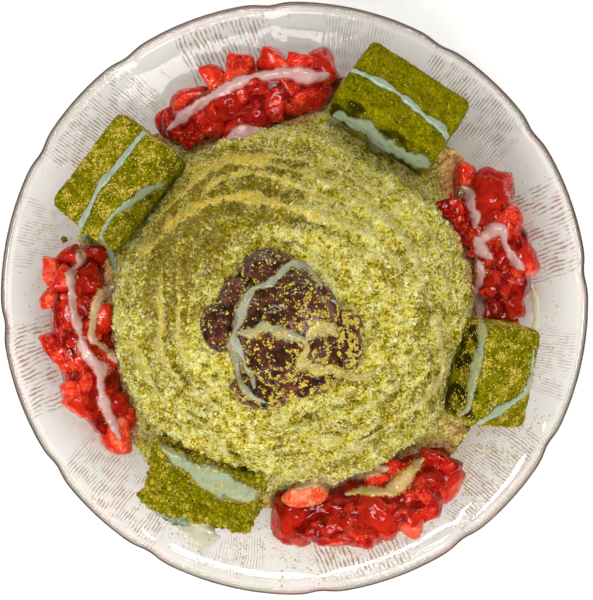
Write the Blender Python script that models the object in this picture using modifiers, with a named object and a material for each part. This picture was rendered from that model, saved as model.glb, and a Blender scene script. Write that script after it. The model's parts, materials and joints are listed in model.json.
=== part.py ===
"""Shaved ice dessert: a dome of ice in a shallow pressed-glass bowl, with a scoop of sweet beans on top,
four powdered bricks of sweet jelly cake leaning on its flank, and four heaps of diced strawberry between them.

Metres, +Z up. The origin is on the table under the middle of the bowl, and the whole dessert is one rigid body.
"""

import math

import bmesh
import bpy
from mathutils import Matrix, Vector, noise

MM = 0.001
GAP = 0.3 * MM  # left between touching pieces
FACET_ROOM = 0.15 * MM  # extra room between two faceted curved faces
CUT_DEEPER = 2 * MM

# Bowl
RIM_RADIUS = 119.5 * MM
RIM_HEIGHT = 42 * MM
FLOOR_RADIUS = 42 * MM  # flat inside
FLOOR_HEIGHT = 6 * MM
WALL = 4 * MM
FOOT_OUTER = 49 * MM
FOOT_INNER = 42 * MM
FOOT_RECESS = 1.5 * MM
BOWL_STEPS = 72
INSIDE_STEPS = 9  # stretches of the profile between the floor and the rim
OUTSIDE_STEPS = 5
WALL_STRAIGHT = 0.35  # share of the wall's rise that is a straight cone; the rest curves in and out
LIP_WIDEST = 0.7  # depths of the lip below the rim, in half walls: where it is widest, and where it ends
LIP_END = 1.7
LIP_CORNER = 0.5  # how far the lip's two corners stand in from its edge, in half walls
LIP_START = 1.6
OUTSIDE_START = FOOT_OUTER + 5 * MM  # the outside leaves the foot between these two radii
FOOT_ROUND = 1 * MM
FOOT_CORNER = FOOT_OUTER + 3 * MM
FOOT_DRAFT = 1.5 * MM
RIM_OVAL = 0.7 * MM  # the rim is a little out of round
RIM_OVAL_TURN = 144
RIM_BAND = 106 * MM  # outside this radius the rim is scalloped
NOTCH_ANGLES = (5, 35, 60)  # degrees; they repeat every quarter turn
NOTCH_DEPTH = 1.1 * MM
NOTCH_WIDTH = 5.0  # degrees

# Ice
DOME_X = -1 * MM
DOME_Y = -4.5 * MM
DOME_RADIUS = 73 * MM
DOME_TOP = 97 * MM
DOME_FOOT = 35 * MM  # height where the dome meets its skirt
DOME_SHOULDER = 2.3  # the two powers that make the dome full at the shoulder and flat on top
DOME_CROWN = 0.6
DOME_WAVE = 1.2 * MM  # three shallow waves round the dome's foot
DOME_WAVE_TURN = 40
BRICK_HOLLOW = 4 * MM  # how far a leaning brick pushes the dome in, and over how many degrees
BRICK_HOLLOW_WIDTH = 17
SKIRT_RADIUS = 89 * MM
SKIRT_LIP = 1.6 * MM
SKIRT_FALL = 34 * MM  # how far the skirt falls over one more dome radius
SKIRT_WAVES = ((5, 1.5 * MM), (9, 1 * MM))  # waves round the skirt's edge, and how deep
RIDGE_PITCH = 10.5 * MM  # the ice lies in rounds, as it fell on the turning bowl
RIDGE_DEPTH = 2 * MM
RIDGE_FADE = 5  # the rounds fade out over one fifth of the radius at the top and at the foot
RING_CROWDING = 0.85  # power that sets the rings of the mesh closer towards the foot
ICE_STEPS = 76
ICE_RINGS = 25
ICE_UNDER_RINGS = 6

# Bricks: name, direction from the middle, distance and height of the brick's centre, length, width,
# lean away from the dome, and turn of its long side from square-on
BRICK_THICKNESS = 22 * MM
BRICK_EDGE = 3.5 * MM
BRICK_ASKEW = 0.03  # share by which one half of a hand-cut brick is larger than the other
BRICKS = (
    ("brick_upper_left", 146.6, 83.5 * MM, 50 * MM, 46 * MM, 29 * MM, 29, -5),
    ("brick_upper_right", 61.3, 86 * MM, 50.5 * MM, 47 * MM, 30.5 * MM, 25, -5.6),
    ("brick_right", 339.4, 84 * MM, 51 * MM, 40 * MM, 27 * MM, 35, 12),
    ("brick_lower_left", 244.2, 80.5 * MM, 48 * MM, 45 * MM, 28 * MM, 25, 12),
)

# Strawberry heaps: name, first and last direction, then inner and outer radius at the first, middle and
# last direction, and crest above what is under them
HEAPS = (
    ("strawberries_top", 76.5, 129, (80 * MM, 69.5 * MM, 75 * MM), (97 * MM, 96 * MM, 92 * MM), 18 * MM),
    ("strawberries_left", 166.5, 223, (74 * MM, 75 * MM, 85 * MM), (103 * MM, 101 * MM, 98 * MM), 18 * MM),
    ("strawberries_bottom", 263, 316, (82 * MM, 75 * MM, 81 * MM), (96 * MM, 104 * MM, 97 * MM), 17 * MM),
    ("strawberries_right", -7.5, 36, (78 * MM, 71 * MM, 78 * MM), (94 * MM, 99 * MM, 94 * MM), 17 * MM),
)
HEAP_LUMP = 12 * MM  # size of a diced piece
HEAP_LUMP_HEIGHT = 3.5 * MM
HEAP_VALLEY = 1.4  # how narrow the valleys between the pieces are
HEAP_LIP = 2.5 * MM
HEAP_OVER_ICE = 0.8 * MM
HEAP_SQUARENESS = 4  # power of the outline: 2 is an ellipse
HEAP_RAGGED = 0.05
HEAP_FLANK = 0.75  # share of its depth over which a heap climbs from the ice
HEAP_CREST_INSIDE = 0.4  # share of the crest at the ice, and how much the flank adds
HEAP_CREST_RISE = 0.5
HEAP_STEPS = 22
HEAP_RINGS = 6

# Scoop of beans
SCOOP_X = -1.5 * MM
SCOOP_Y = -12 * MM
SCOOP_Z = 100 * MM
SCOOP_HALF_WIDTH = 24 * MM
SCOOP_HALF_LENGTH = 26.5 * MM
SCOOP_HALF_HEIGHT = 17 * MM
SCOOP_LOBES = (  # direction, spread, share of the radius
    (178, 22, 0.36),
    (108, 24, 0.12),
    (232, 20, 0.16),
    (-38, 24, 0.10),
)
SCOOP_LUMP = 11 * MM
SCOOP_LUMP_HEIGHT = 2.2 * MM
SCOOP_LOBE_TOP = 0.75  # the lobes bulge below this share of the half height


# ---------------------------------------------------------------- helpers


def clear_scene():
    for obj in list(bpy.data.objects):
        bpy.data.objects.remove(obj)


def make_collection(name):
    collection = bpy.data.collections.new(name)
    bpy.context.scene.collection.children.link(collection)
    return collection


def make_material(name, colour, roughness, transmission=0.0):
    material = bpy.data.materials.new(name)
    material.use_nodes = True
    shader = material.node_tree.nodes["Principled BSDF"]
    shader.inputs["Base Color"].default_value = (*colour, 1)
    shader.inputs["Roughness"].default_value = roughness
    shader.inputs["Metallic"].default_value = 0
    shader.inputs["Transmission Weight"].default_value = transmission
    return material


def object_from(bm, name, collection, material=None):
    mesh = bpy.data.meshes.new(name)
    bmesh.ops.recalc_face_normals(bm, faces=bm.faces)
    bm.to_mesh(mesh)
    bm.free()
    mesh.shade_smooth()
    mesh.set_sharp_from_angle(angle=math.radians(50))
    obj = bpy.data.objects.new(name, mesh)
    collection.objects.link(obj)
    if material:
        mesh.materials.append(material)
    return obj


def smooth(t):
    t = min(max(t, 0.0), 1.0)
    return t * t * (3 - 2 * t)


def through(first, middle, last, t):
    """Smooth value that passes the three at t = -1, 0 and 1."""
    return middle + (last - first) / 2 * t + ((first + last) / 2 - middle) * t * t


def turn_between(angle, other):
    """Smallest difference of two directions in degrees."""
    return (angle - other + 180) % 360 - 180


def disc_solid(rings, steps, place, under_rings=2):
    """Closed lens: place(share, turn, top) gives its point at that share of the way out, above or below."""
    bm = bmesh.new()

    def face_of_rings(count, top):
        middle = bm.verts.new(place(0.0, 0.0, top))
        loops = []
        for ring in range(1, count + 1):
            share = ring / count
            loops.append([bm.verts.new(place(share, step / steps, top)) for step in range(steps)])
        for step in range(steps):
            after = (step + 1) % steps
            bm.faces.new((middle, loops[0][step], loops[0][after]))
            for inner, outer in zip(loops, loops[1:]):
                bm.faces.new((inner[step], outer[step], outer[after], inner[after]))
        return loops[-1]

    upper = face_of_rings(rings, True)
    lower = face_of_rings(under_rings, False)
    for step in range(steps):
        after = (step + 1) % steps
        bm.faces.new((upper[step], lower[step], lower[after], upper[after]))
    return bm


def swollen_copy(obj, collection):
    """A cutter: the same shape, larger by the gap all round, and deep enough to leave nothing under it."""
    cutter = bpy.data.objects.new(obj.name + "_cutter", obj.data.copy())
    collection.objects.link(cutter)
    bm = bmesh.new()
    bm.from_mesh(cutter.data)
    for vertex in bm.verts:
        vertex.co += vertex.normal * (GAP + FACET_ROOM)
        if vertex.normal.z < -0.3:
            vertex.co.z -= CUT_DEEPER
    bm.to_mesh(cutter.data)
    bm.free()
    cutter.hide_render = True
    cutter.display_type = "WIRE"
    return cutter


# ---------------------------------------------------------------- bowl


def inner_height(radius):
    """Height of the bowl's inside above the table."""
    t = (radius - FLOOR_RADIUS) / (RIM_RADIUS - FLOOR_RADIUS)
    if t <= 0:
        return FLOOR_HEIGHT
    share = WALL_STRAIGHT * t + (1 - WALL_STRAIGHT) * smooth(t)
    return FLOOR_HEIGHT + (RIM_HEIGHT - FLOOR_HEIGHT) * share


def outer_height(radius):
    """Height of the bowl's outside, a wall's thickness below its inside."""
    step = 0.5 * MM
    slope = (inner_height(radius + step) - inner_height(radius - step)) / (2 * step)
    return inner_height(radius) - WALL * math.hypot(1, slope)


def rim_outline(angle):
    """How far the rim stands in or out at this direction, in degrees."""
    out = RIM_OVAL * math.cos(math.radians(2 * angle + RIM_OVAL_TURN))
    for quarter in range(4):
        for notch in NOTCH_ANGLES:
            away = turn_between(angle, notch + 90 * quarter)
            out -= NOTCH_DEPTH * math.exp(-((away / NOTCH_WIDTH) ** 2) * 4)
    return out


def bowl_profile():
    """Half outline, from the middle of the inside over the rim to the middle of the foot."""
    lip = WALL / 2
    last_wall = RIM_RADIUS - lip * LIP_START
    wall = [FLOOR_RADIUS + (last_wall - FLOOR_RADIUS) * step / INSIDE_STEPS for step in range(INSIDE_STEPS + 1)]
    inside = [(0, FLOOR_HEIGHT)] + [(radius, inner_height(radius)) for radius in wall]
    rim = [
        (RIM_RADIUS - lip * LIP_CORNER, RIM_HEIGHT),
        (RIM_RADIUS, RIM_HEIGHT - lip * LIP_WIDEST),
        (RIM_RADIUS - lip * LIP_CORNER, RIM_HEIGHT - lip * LIP_END),
    ]
    outside = []
    for step in range(OUTSIDE_STEPS - 1, 0, -1):
        radius = OUTSIDE_START + (last_wall - OUTSIDE_START) * step / OUTSIDE_STEPS
        outside.append((radius, outer_height(radius)))
    foot = [
        (FOOT_OUTER + FOOT_ROUND, outer_height(FOOT_CORNER)),
        (FOOT_OUTER, 0),
        (FOOT_INNER, 0),
        (FOOT_INNER - FOOT_DRAFT, FOOT_RECESS),
        (0, FOOT_RECESS),
    ]
    return inside + rim + outside + foot


def build_bowl(collection, material):
    bm = bmesh.new()
    points = [bm.verts.new((radius, 0, height)) for radius, height in bowl_profile()]
    for start, end in zip(points, points[1:]):
        bm.edges.new((start, end))
    mesh = bpy.data.meshes.new("bowl_profile")
    bm.to_mesh(mesh)
    bm.free()
    turned = bpy.data.objects.new("bowl_profile", mesh)
    collection.objects.link(turned)
    screw = turned.modifiers.new("Turn", "SCREW")
    screw.steps = screw.render_steps = BOWL_STEPS
    screw.use_merge_vertices = True
    screw.merge_threshold = 0.01 * MM
    bpy.context.view_layer.update()
    graph = bpy.context.evaluated_depsgraph_get()
    bowl_mesh = bpy.data.meshes.new_from_object(turned.evaluated_get(graph))
    bpy.data.objects.remove(turned)

    bm = bmesh.new()
    bm.from_mesh(bowl_mesh)
    for vertex in bm.verts:
        radius = math.hypot(vertex.co.x, vertex.co.y)
        if radius > RIM_BAND:
            angle = math.degrees(math.atan2(vertex.co.y, vertex.co.x))
            share = smooth((radius - RIM_BAND) / (RIM_RADIUS - RIM_BAND))
            grow = 1 + rim_outline(angle) * share / radius
            vertex.co.x *= grow
            vertex.co.y *= grow
    low = min((v.co.x for v in bm.verts)), min((v.co.y for v in bm.verts))
    high = max((v.co.x for v in bm.verts)), max((v.co.y for v in bm.verts))
    off_x, off_y = (low[0] + high[0]) / 2, (low[1] + high[1]) / 2
    for vertex in bm.verts:
        if math.hypot(vertex.co.x, vertex.co.y) > RIM_BAND:
            vertex.co.x -= off_x
            vertex.co.y -= off_y
    return object_from(bm, "bowl", collection, material)


# ---------------------------------------------------------------- ice


def dome_radius(angle):
    """Radius of the dome's foot: pulled in where a brick leans on it, and never quite round."""
    radius = DOME_RADIUS + DOME_WAVE * math.cos(math.radians(3 * angle + DOME_WAVE_TURN))
    for _, direction, *_ in BRICKS[:3]:
        radius -= BRICK_HOLLOW * math.exp(-((turn_between(angle, direction) / BRICK_HOLLOW_WIDTH) ** 2))
    return radius


def ridge(radius, angle):
    """Height of the wound rounds of ice: full beads with a sharp valley between."""
    turns = radius / RIDGE_PITCH - angle / 360
    across = 2 * (turns % 1) - 1
    return RIDGE_DEPTH * (math.sqrt(max(1 - across * across, 0)) - 0.7)


def ice_height(x, y):
    """Top of the ice above the table."""
    angle = math.degrees(math.atan2(y - DOME_Y, x - DOME_X))
    radius = math.hypot(x - DOME_X, y - DOME_Y)
    share = radius / dome_radius(angle)
    skirt = DOME_FOOT - (share - 1) * SKIRT_FALL
    if share >= 1:
        return skirt
    dome = DOME_FOOT + (DOME_TOP - DOME_FOOT) * (1 - share**DOME_SHOULDER) ** DOME_CROWN
    fade = smooth(share * RIDGE_FADE) * smooth((1 - share) * RIDGE_FADE)
    return dome + ridge(radius, angle) * fade


def skirt_radius(angle):
    (slow, deep), (quick, shallow) = SKIRT_WAVES
    return SKIRT_RADIUS + deep * math.sin(math.radians(slow * angle)) + shallow * math.cos(math.radians(quick * angle))


def place_ice(share, turn, top):
    angle = 360 * turn
    outward = Vector((math.cos(math.radians(angle)), math.sin(math.radians(angle)), 0))
    edge = outward * skirt_radius(angle)
    middle = Vector((DOME_X, DOME_Y, 0))
    point = middle.lerp(edge, share**RING_CROWDING if top else share)
    floor = inner_height(math.hypot(point.x, point.y)) + GAP + FACET_ROOM
    point.z = floor
    if top:
        point.z = max(ice_height(point.x, point.y), floor + SKIRT_LIP)
    return point


def build_ice(collection, material, cutters):
    bm = disc_solid(ICE_RINGS, ICE_STEPS, place_ice, ICE_UNDER_RINGS)
    ice = object_from(bm, "ice_mound", collection, material)
    cut = ice.modifiers.new("Beds", "BOOLEAN")
    cut.operation = "DIFFERENCE"
    cut.solver = "EXACT"
    cut.operand_type = "COLLECTION"
    cut.collection = cutters
    return ice


# ---------------------------------------------------------------- bricks


def brick_frame(direction, distance, height, lean, turn):
    """Long side across the way out, width down the slope, thickness outwards and up."""
    out = Matrix.Rotation(math.radians(direction), 4, "Z")
    shift = Matrix.Translation((distance, 0, height))
    tilt = Matrix.Rotation(math.radians(lean), 4, "Y")
    spin = Matrix.Rotation(math.radians(turn), 4, "Z")
    return out @ shift @ tilt @ spin


def brick_mesh(name, length, width, grow, edge):
    bm = bmesh.new()
    bmesh.ops.create_cube(bm, size=1)
    size = Vector((width, length, BRICK_THICKNESS)) + Vector((grow, grow, grow)) * 2
    for vertex in bm.verts:
        cut_askew = 1 + BRICK_ASKEW * (vertex.co.x > 0) - BRICK_ASKEW * (vertex.co.y > 0)
        vertex.co = Vector((vertex.co.x * size.x * cut_askew, vertex.co.y * size.y, vertex.co.z * size.z))
    if edge:
        bmesh.ops.bevel(bm, geom=bm.edges[:], offset=edge, segments=3, profile=0.5, affect="EDGES")
    mesh = bpy.data.meshes.new(name)
    bm.to_mesh(mesh)
    bm.free()
    mesh.shade_smooth()
    mesh.set_sharp_from_angle(angle=math.radians(50))
    return mesh


def build_brick(brick, collection, material, cutters):
    name, direction, distance, height, length, width, lean, turn = brick
    frame = brick_frame(direction, distance, height, lean, turn)
    body = bpy.data.objects.new(name, brick_mesh(name, length, width, 0, BRICK_EDGE))
    body.data.materials.append(material)
    body.matrix_world = frame
    collection.objects.link(body)
    cutter = bpy.data.objects.new(name + "_cutter", brick_mesh(name + "_cutter", length, width, GAP, 0))
    cutter.matrix_world = frame
    cutter.hide_render = True
    cutter.display_type = "WIRE"
    cutters.objects.link(cutter)


# ---------------------------------------------------------------- strawberries


def lumps(point, size):
    """Rounded bumps, one for each diced piece: 1 on a bump and 0 in the valleys."""
    return 1 - min(noise.voronoi(point / size)[0][0] * HEAP_VALLEY, 1) ** 2


def build_heap(heap, collection, material, cutters):
    name, first, last, inner, outer, crest = heap
    half_span = (last - first) / 2

    def place(share, turn, top):
        angle = math.tau * turn
        across, along = math.cos(angle), math.sin(angle)
        squarer = (abs(across) ** HEAP_SQUARENESS + abs(along) ** HEAP_SQUARENESS) ** (-1 / HEAP_SQUARENESS)
        ragged = 1 - HEAP_RAGGED * (1 + math.sin(3 * angle + first)) * share
        across, along = across * squarer * share * ragged, along * squarer * share * ragged
        near, far = through(*inner, along), through(*outer, along)
        half_depth = (far - near) / 2
        radius = (near + far) / 2 + across * half_depth
        direction = math.radians((first + last) / 2 + along * half_span)
        x, y = radius * math.cos(direction), radius * math.sin(direction)
        floor = inner_height(radius) + GAP + FACET_ROOM
        if not top:
            return Vector((x, y, floor))
        under = max(floor + HEAP_LIP, ice_height(x, y) + HEAP_OVER_ICE)
        swell = (1 - share**3) ** 0.6
        bump = lumps(Vector((x, y, 0)), HEAP_LUMP) * HEAP_LUMP_HEIGHT * swell
        flank = smooth((radius - near) / (HEAP_FLANK * half_depth))
        rise = crest * swell * (HEAP_CREST_INSIDE + HEAP_CREST_RISE * flank)
        return Vector((x, y, under + rise + bump))

    body = object_from(disc_solid(HEAP_RINGS, HEAP_STEPS, place), name, collection, material)
    swollen_copy(body, cutters)


# ---------------------------------------------------------------- beans


def build_scoop(collection, material, cutters):
    bm = bmesh.new()
    bmesh.ops.create_uvsphere(bm, u_segments=24, v_segments=13, radius=1)
    for vertex in bm.verts:
        angle = math.degrees(math.atan2(vertex.co.y, vertex.co.x))
        level = 1 - vertex.co.z**2
        wide = 1.0
        for direction, spread, share in SCOOP_LOBES:
            low = smooth(SCOOP_LOBE_TOP - vertex.co.z)
            wide += share * level * low * math.exp(-((turn_between(angle, direction) / spread) ** 2))
        point = Vector(
            (
                vertex.co.x * SCOOP_HALF_WIDTH * wide,
                vertex.co.y * SCOOP_HALF_LENGTH * wide,
                vertex.co.z * SCOOP_HALF_HEIGHT,
            )
        )
        bump = lumps(point, SCOOP_LUMP) * SCOOP_LUMP_HEIGHT
        vertex.co = point + vertex.co.normalized() * bump + Vector((SCOOP_X, SCOOP_Y, SCOOP_Z))
    body = object_from(bm, "bean_scoop", collection, material)
    swollen_copy(body, cutters)


# ---------------------------------------------------------------- dessert


def main():
    clear_scene()
    dessert = make_collection("shaved_ice_dessert")
    cutters = make_collection("cutters")
    glass = make_material("clear_glass", (0.92, 0.93, 0.91), 0.06, 0.9)
    ice = make_material("green_tea_ice", (0.68, 0.66, 0.25), 0.85)
    powdered = make_material("green_tea_powder", (0.22, 0.24, 0.01), 0.95)
    strawberry = make_material("strawberry_in_syrup", (0.55, 0.03, 0.03), 0.2)
    beans = make_material("sweet_beans", (0.06, 0.02, 0.02), 0.3)

    build_bowl(dessert, glass)
    for brick in BRICKS:
        build_brick(brick, dessert, powdered, cutters)
    for heap in HEAPS:
        build_heap(heap, dessert, strawberry, cutters)
    build_scoop(dessert, beans, cutters)
    build_ice(dessert, ice, cutters)


main()
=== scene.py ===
"""Shaved ice dessert: the looks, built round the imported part.

A dome of green-tea shaved ice fills a shallow pressed-glass bowl. A scoop of sweet beans sits on top, four
powdered bricks of jelly cake lean on the flank with four heaps of diced strawberry between them, and condensed
milk and roasted soy powder lie over all of it. Metres, +Z up, origin on the table under the middle of the bowl.
"""

import json
import math
import random

import bmesh
import bpy
import numpy as np
from mathutils import Euler, Matrix, Vector, noise
from mathutils.bvhtree import BVHTree

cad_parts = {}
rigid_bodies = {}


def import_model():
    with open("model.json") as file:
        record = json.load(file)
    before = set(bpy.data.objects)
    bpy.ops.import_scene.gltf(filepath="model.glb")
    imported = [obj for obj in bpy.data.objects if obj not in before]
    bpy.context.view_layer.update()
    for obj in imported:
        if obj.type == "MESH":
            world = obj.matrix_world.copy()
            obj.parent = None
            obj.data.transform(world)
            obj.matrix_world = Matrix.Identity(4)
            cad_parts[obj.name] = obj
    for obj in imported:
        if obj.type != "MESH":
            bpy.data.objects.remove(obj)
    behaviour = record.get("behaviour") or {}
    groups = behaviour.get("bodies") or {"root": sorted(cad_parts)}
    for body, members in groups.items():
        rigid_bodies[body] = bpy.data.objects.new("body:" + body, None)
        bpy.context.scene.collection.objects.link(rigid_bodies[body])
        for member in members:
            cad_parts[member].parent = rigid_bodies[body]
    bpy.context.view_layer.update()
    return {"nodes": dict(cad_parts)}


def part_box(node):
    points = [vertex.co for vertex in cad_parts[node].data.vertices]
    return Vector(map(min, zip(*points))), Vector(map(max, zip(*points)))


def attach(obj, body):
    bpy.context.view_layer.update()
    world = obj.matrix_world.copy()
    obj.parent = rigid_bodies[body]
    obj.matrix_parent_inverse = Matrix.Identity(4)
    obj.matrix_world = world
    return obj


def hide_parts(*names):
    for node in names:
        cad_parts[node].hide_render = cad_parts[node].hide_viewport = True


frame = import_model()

MM = 0.001
SEED = 11

# Bowl
RIM_RADIUS = 119.5 * MM
RIM_HEIGHT = 42 * MM
FLOOR_RADIUS = 42 * MM
FLOOR_HEIGHT = 6 * MM
WALL = 4 * MM
FOOT_OUTER = 49 * MM
FOOT_INNER = 42 * MM
FOOT_RECESS = 1.5 * MM
RIM_BAND = 106 * MM
NOTCH_ANGLES = (5, 35, 60)
NOTCH_DEPTH = 1.1 * MM
NOTCH_WIDTH = 5.0
BOWL_STEPS = 1080
LINES_PER_GROOVE = 1.7
JUICE_ON_GLASS = 9 * MM
GROOVE_FOOT = 91 * MM  # the fans of grooves fade out between these two radii
GROOVE_FULL = 99 * MM
# Fans of pressed grooves: left and right edge at the rim, the same further in, grooves, strength
FANS = (
    (6, 25.5, 2, 25, 13, 1.0),
    (36, 60.5, 32, 62, 22, 0.9),
    (69, 84.5, 68.5, 83, 14, 0.55),
)

# Ice
DOME_X = -1 * MM
DOME_Y = -4.5 * MM
DOME_RADIUS = 73 * MM
DOME_TOP = 97 * MM
DOME_FOOT = 35 * MM
SKIRT_RADIUS = 89 * MM
SKIRT_LIP = 1.6 * MM
SKIRT_FALL = 34 * MM
RIDGE_PITCH = 10.5 * MM
RIDGE_DEPTH = 2.9 * MM
DIP_AWAY = 3 * MM
DIP_WIDTH = 2 * MM
DIP_DEPTH = 2.1 * MM
BAND_RISE = 1.1 * MM
INTO_GLASS = 0.3 * MM
ICE_STEPS = 560
ICE_RINGS = 150


def clamp(value, low=0.0, high=1.0):
    return np.minimum(np.maximum(value, low), high)


def smooth(t):
    t = clamp(t)
    return t * t * (3 - 2 * t)


def through(first, middle, last, t):
    """Smooth value that passes the three at t = -1, 0 and 1."""
    return middle + (last - first) / 2 * t + ((first + last) / 2 - middle) * t * t


def turn_between(angle, other):
    """Smallest difference of two directions in degrees."""
    return (angle - other + 180) % 360 - 180


def shade(red, green, blue):
    """A colour given as it looks on a screen, 0 to 255, as the linear colour that a shader takes."""
    levels = [channel / 255 for channel in (red, green, blue)]
    linear = [level / 12.92 if level < 0.04045 else ((level + 0.055) / 1.055) ** 2.4 for level in levels]
    return (*linear, 1.0)


# ---------------------------------------------------------------- node helpers


def wire(tree, kind, inputs=None, **settings):
    """Adds a node. Inputs maps a socket's name or number to a value or to another node's output."""
    made = tree.nodes.new(kind)
    for key, value in settings.items():
        setattr(made, key, value)
    for key, value in (inputs or {}).items():
        if isinstance(value, bpy.types.NodeSocket):
            tree.links.new(value, made.inputs[key])
        else:
            made.inputs[key].default_value = value
    return made


def calc(tree, operation, *values):
    """Output of a Math node on numbers or sockets."""
    return wire(tree, "ShaderNodeMath", dict(enumerate(values)), operation=operation).outputs[0]


def calc_vector(tree, operation, *values):
    node = wire(tree, "ShaderNodeVectorMath", dict(enumerate(values)), operation=operation)
    return node.outputs["Value" if operation in ("LENGTH", "DISTANCE", "DOT_PRODUCT") else "Vector"]


def remap(tree, value, low, high, to_low=0.0, to_high=1.0, kind="SMOOTHSTEP"):
    """The value from low to high made to run from to_low to to_high, and held at the ends."""
    inputs = {"Value": value, "From Min": low, "From Max": high, "To Min": to_low, "To Max": to_high}
    return wire(tree, "ShaderNodeMapRange", inputs, interpolation_type=kind).outputs["Result"]


def new_tree(name, kind, inputs, outputs):
    """A node tree with named sockets. Returns it with its input node and output node."""
    tree = bpy.data.node_groups.new(name, kind)
    for in_out, sockets in (("INPUT", inputs), ("OUTPUT", outputs)):
        for socket_name, socket_type, *default in sockets:
            socket = tree.interface.new_socket(socket_name, in_out=in_out, socket_type="NodeSocket" + socket_type)
            if default:
                socket.default_value = default[0]
    return tree, tree.nodes.new("NodeGroupInput"), tree.nodes.new("NodeGroupOutput")


def run_tree(obj, tree, **inputs):
    """Runs a geometry tree on the object, and returns what it makes as a plain mesh. An input's name has _ for space."""
    modifier = obj.modifiers.new(tree.name, "NODES")
    modifier.node_group = tree
    for socket in tree.interface.items_tree:
        key = socket.name.replace(" ", "_")
        if socket.in_out == "INPUT" and key in inputs:
            value = inputs.pop(key)
            modifier[socket.identifier] = float(value) if socket.socket_type == "NodeSocketFloat" else value
    if inputs:
        raise KeyError(f"{tree.name} has no input {sorted(inputs)}")
    graph = bpy.context.evaluated_depsgraph_get()
    mesh = bpy.data.meshes.new_from_object(obj.evaluated_get(graph))
    obj.modifiers.remove(modifier)
    return mesh


# ---------------------------------------------------------------- mesh helpers


def object_from(name, mesh, material=None):
    obj = bpy.data.objects.new(name, mesh)
    bpy.context.scene.collection.objects.link(obj)
    if material:
        mesh.materials.clear()
        mesh.materials.append(material)
    return obj


def mesh_from(name, points, faces, smooth_shaded=True, **values):
    """A mesh from its points and faces, with a float attribute on its points for each further value."""
    mesh = bpy.data.meshes.new(name)
    mesh.from_pydata([tuple(point) for point in points], [], [tuple(face) for face in faces])
    for key, numbers in values.items():
        attribute = mesh.attributes.new(key, "FLOAT", "POINT")
        attribute.data.foreach_set("value", np.asarray(numbers, np.float32))
    mesh.polygons.foreach_set("use_smooth", [smooth_shaded] * len(mesh.polygons))
    mesh.update()
    return mesh


def points_of(mesh):
    flat = np.empty(len(mesh.vertices) * 3, np.float32)
    mesh.vertices.foreach_get("co", flat)
    return flat.reshape(-1, 3).astype(float)


def joined(name, objects, material=None):
    """The objects as one, with their attributes kept."""
    with bpy.context.temp_override(active_object=objects[0], selected_editable_objects=objects):
        bpy.ops.object.join()
    whole = objects[0]
    whole.name = whole.data.name = name
    if material:
        whole.data.materials.clear()
        whole.data.materials.append(material)
    return whole


def surface_of(*objects):
    """The objects' meshes as one tree for rays and nearest points."""
    points, faces = [], []
    for obj in objects:
        start = len(points)
        points += [vertex.co.copy() for vertex in obj.data.vertices]
        faces += [[start + corner for corner in face.vertices] for face in obj.data.polygons]
    return BVHTree.FromPolygons(points, faces)


def keep(obj, slot, *nodes):
    """The finished piece rides on the part's one body and stands for these CAD nodes."""
    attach(obj, "root")
    if nodes:
        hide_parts(*nodes)
    return obj


def lathe_faces(rings, steps, closed_ends=True):
    """Faces between rings of points, each of as many steps. With closed ends the first and last are single points."""
    faces = []
    for ring in range(rings - 1):
        for step in range(steps):
            after = (step + 1) % steps
            inner, outer = ring * steps, (ring + 1) * steps
            faces.append((inner + step, outer + step, outer + after, inner + after))
    if closed_ends:
        first, last, end = rings * steps, rings * steps + 1, (rings - 1) * steps
        for step in range(steps):
            after = (step + 1) % steps
            faces.append((first, step, after))
            faces.append((last, end + after, end + step))
    return faces


# ---------------------------------------------------------------- materials


def principled(name, **plain):
    """A material with a Principled BSDF. Returns the material, its tree and the shader."""
    material = bpy.data.materials.new(name)
    material.use_nodes = True
    tree = material.node_tree
    shader = tree.nodes["Principled BSDF"]
    for key, value in plain.items():
        shader.inputs[key.replace("_", " ")].default_value = value
    return material, tree, shader


def attribute(tree, name):
    return wire(tree, "ShaderNodeAttribute", attribute_name=name).outputs["Fac"]


def place(tree):
    return wire(tree, "ShaderNodeTexCoord").outputs["Object"]


def mix(tree, share, first, second, blend="MIX"):
    node = wire(tree, "ShaderNodeMix", data_type="RGBA", blend_type=blend)
    for index, value in ((0, share), (6, first), (7, second)):
        if isinstance(value, bpy.types.NodeSocket):
            tree.links.new(value, node.inputs[index])
        else:
            node.inputs[index].default_value = value
    return node.outputs[2]


def ramp(tree, value, stops):
    """A colour that runs through the stops, each its place from 0 to 1 and a colour as it looks on a screen."""
    node = wire(tree, "ShaderNodeValToRGB", {"Fac": value})
    elements = node.color_ramp.elements
    while len(elements) < len(stops):
        elements.new(0.5)
    for element, (at, colour) in zip(elements, stops):
        element.position = at
        element.color = shade(*colour)
    return node.outputs["Color"]


def make_grain_group():
    """Fine noise in two sizes: a value that runs 0 to 1 over the surface, and the same as a height."""
    sockets = (("Vector", "Vector"), ("Size", "Float", 0.001), ("Detail", "Float", 3.0), ("Warp", "Float", 0.0))
    tree, given, out = new_tree("grain", "ShaderNodeTree", sockets, (("Value", "Float"), ("Height", "Float")))
    scale = calc(tree, "DIVIDE", 1.0, given.outputs["Size"])
    inputs = {"Vector": given.outputs["Vector"], "Scale": scale, "Detail": given.outputs["Detail"]}
    inputs["Distortion"] = given.outputs["Warp"]
    fine = wire(tree, "ShaderNodeTexNoise", inputs).outputs["Fac"]
    tree.links.new(remap(tree, fine, 0.3, 0.7, kind="LINEAR"), out.inputs["Value"])
    tree.links.new(fine, out.inputs["Height"])
    return tree


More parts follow.
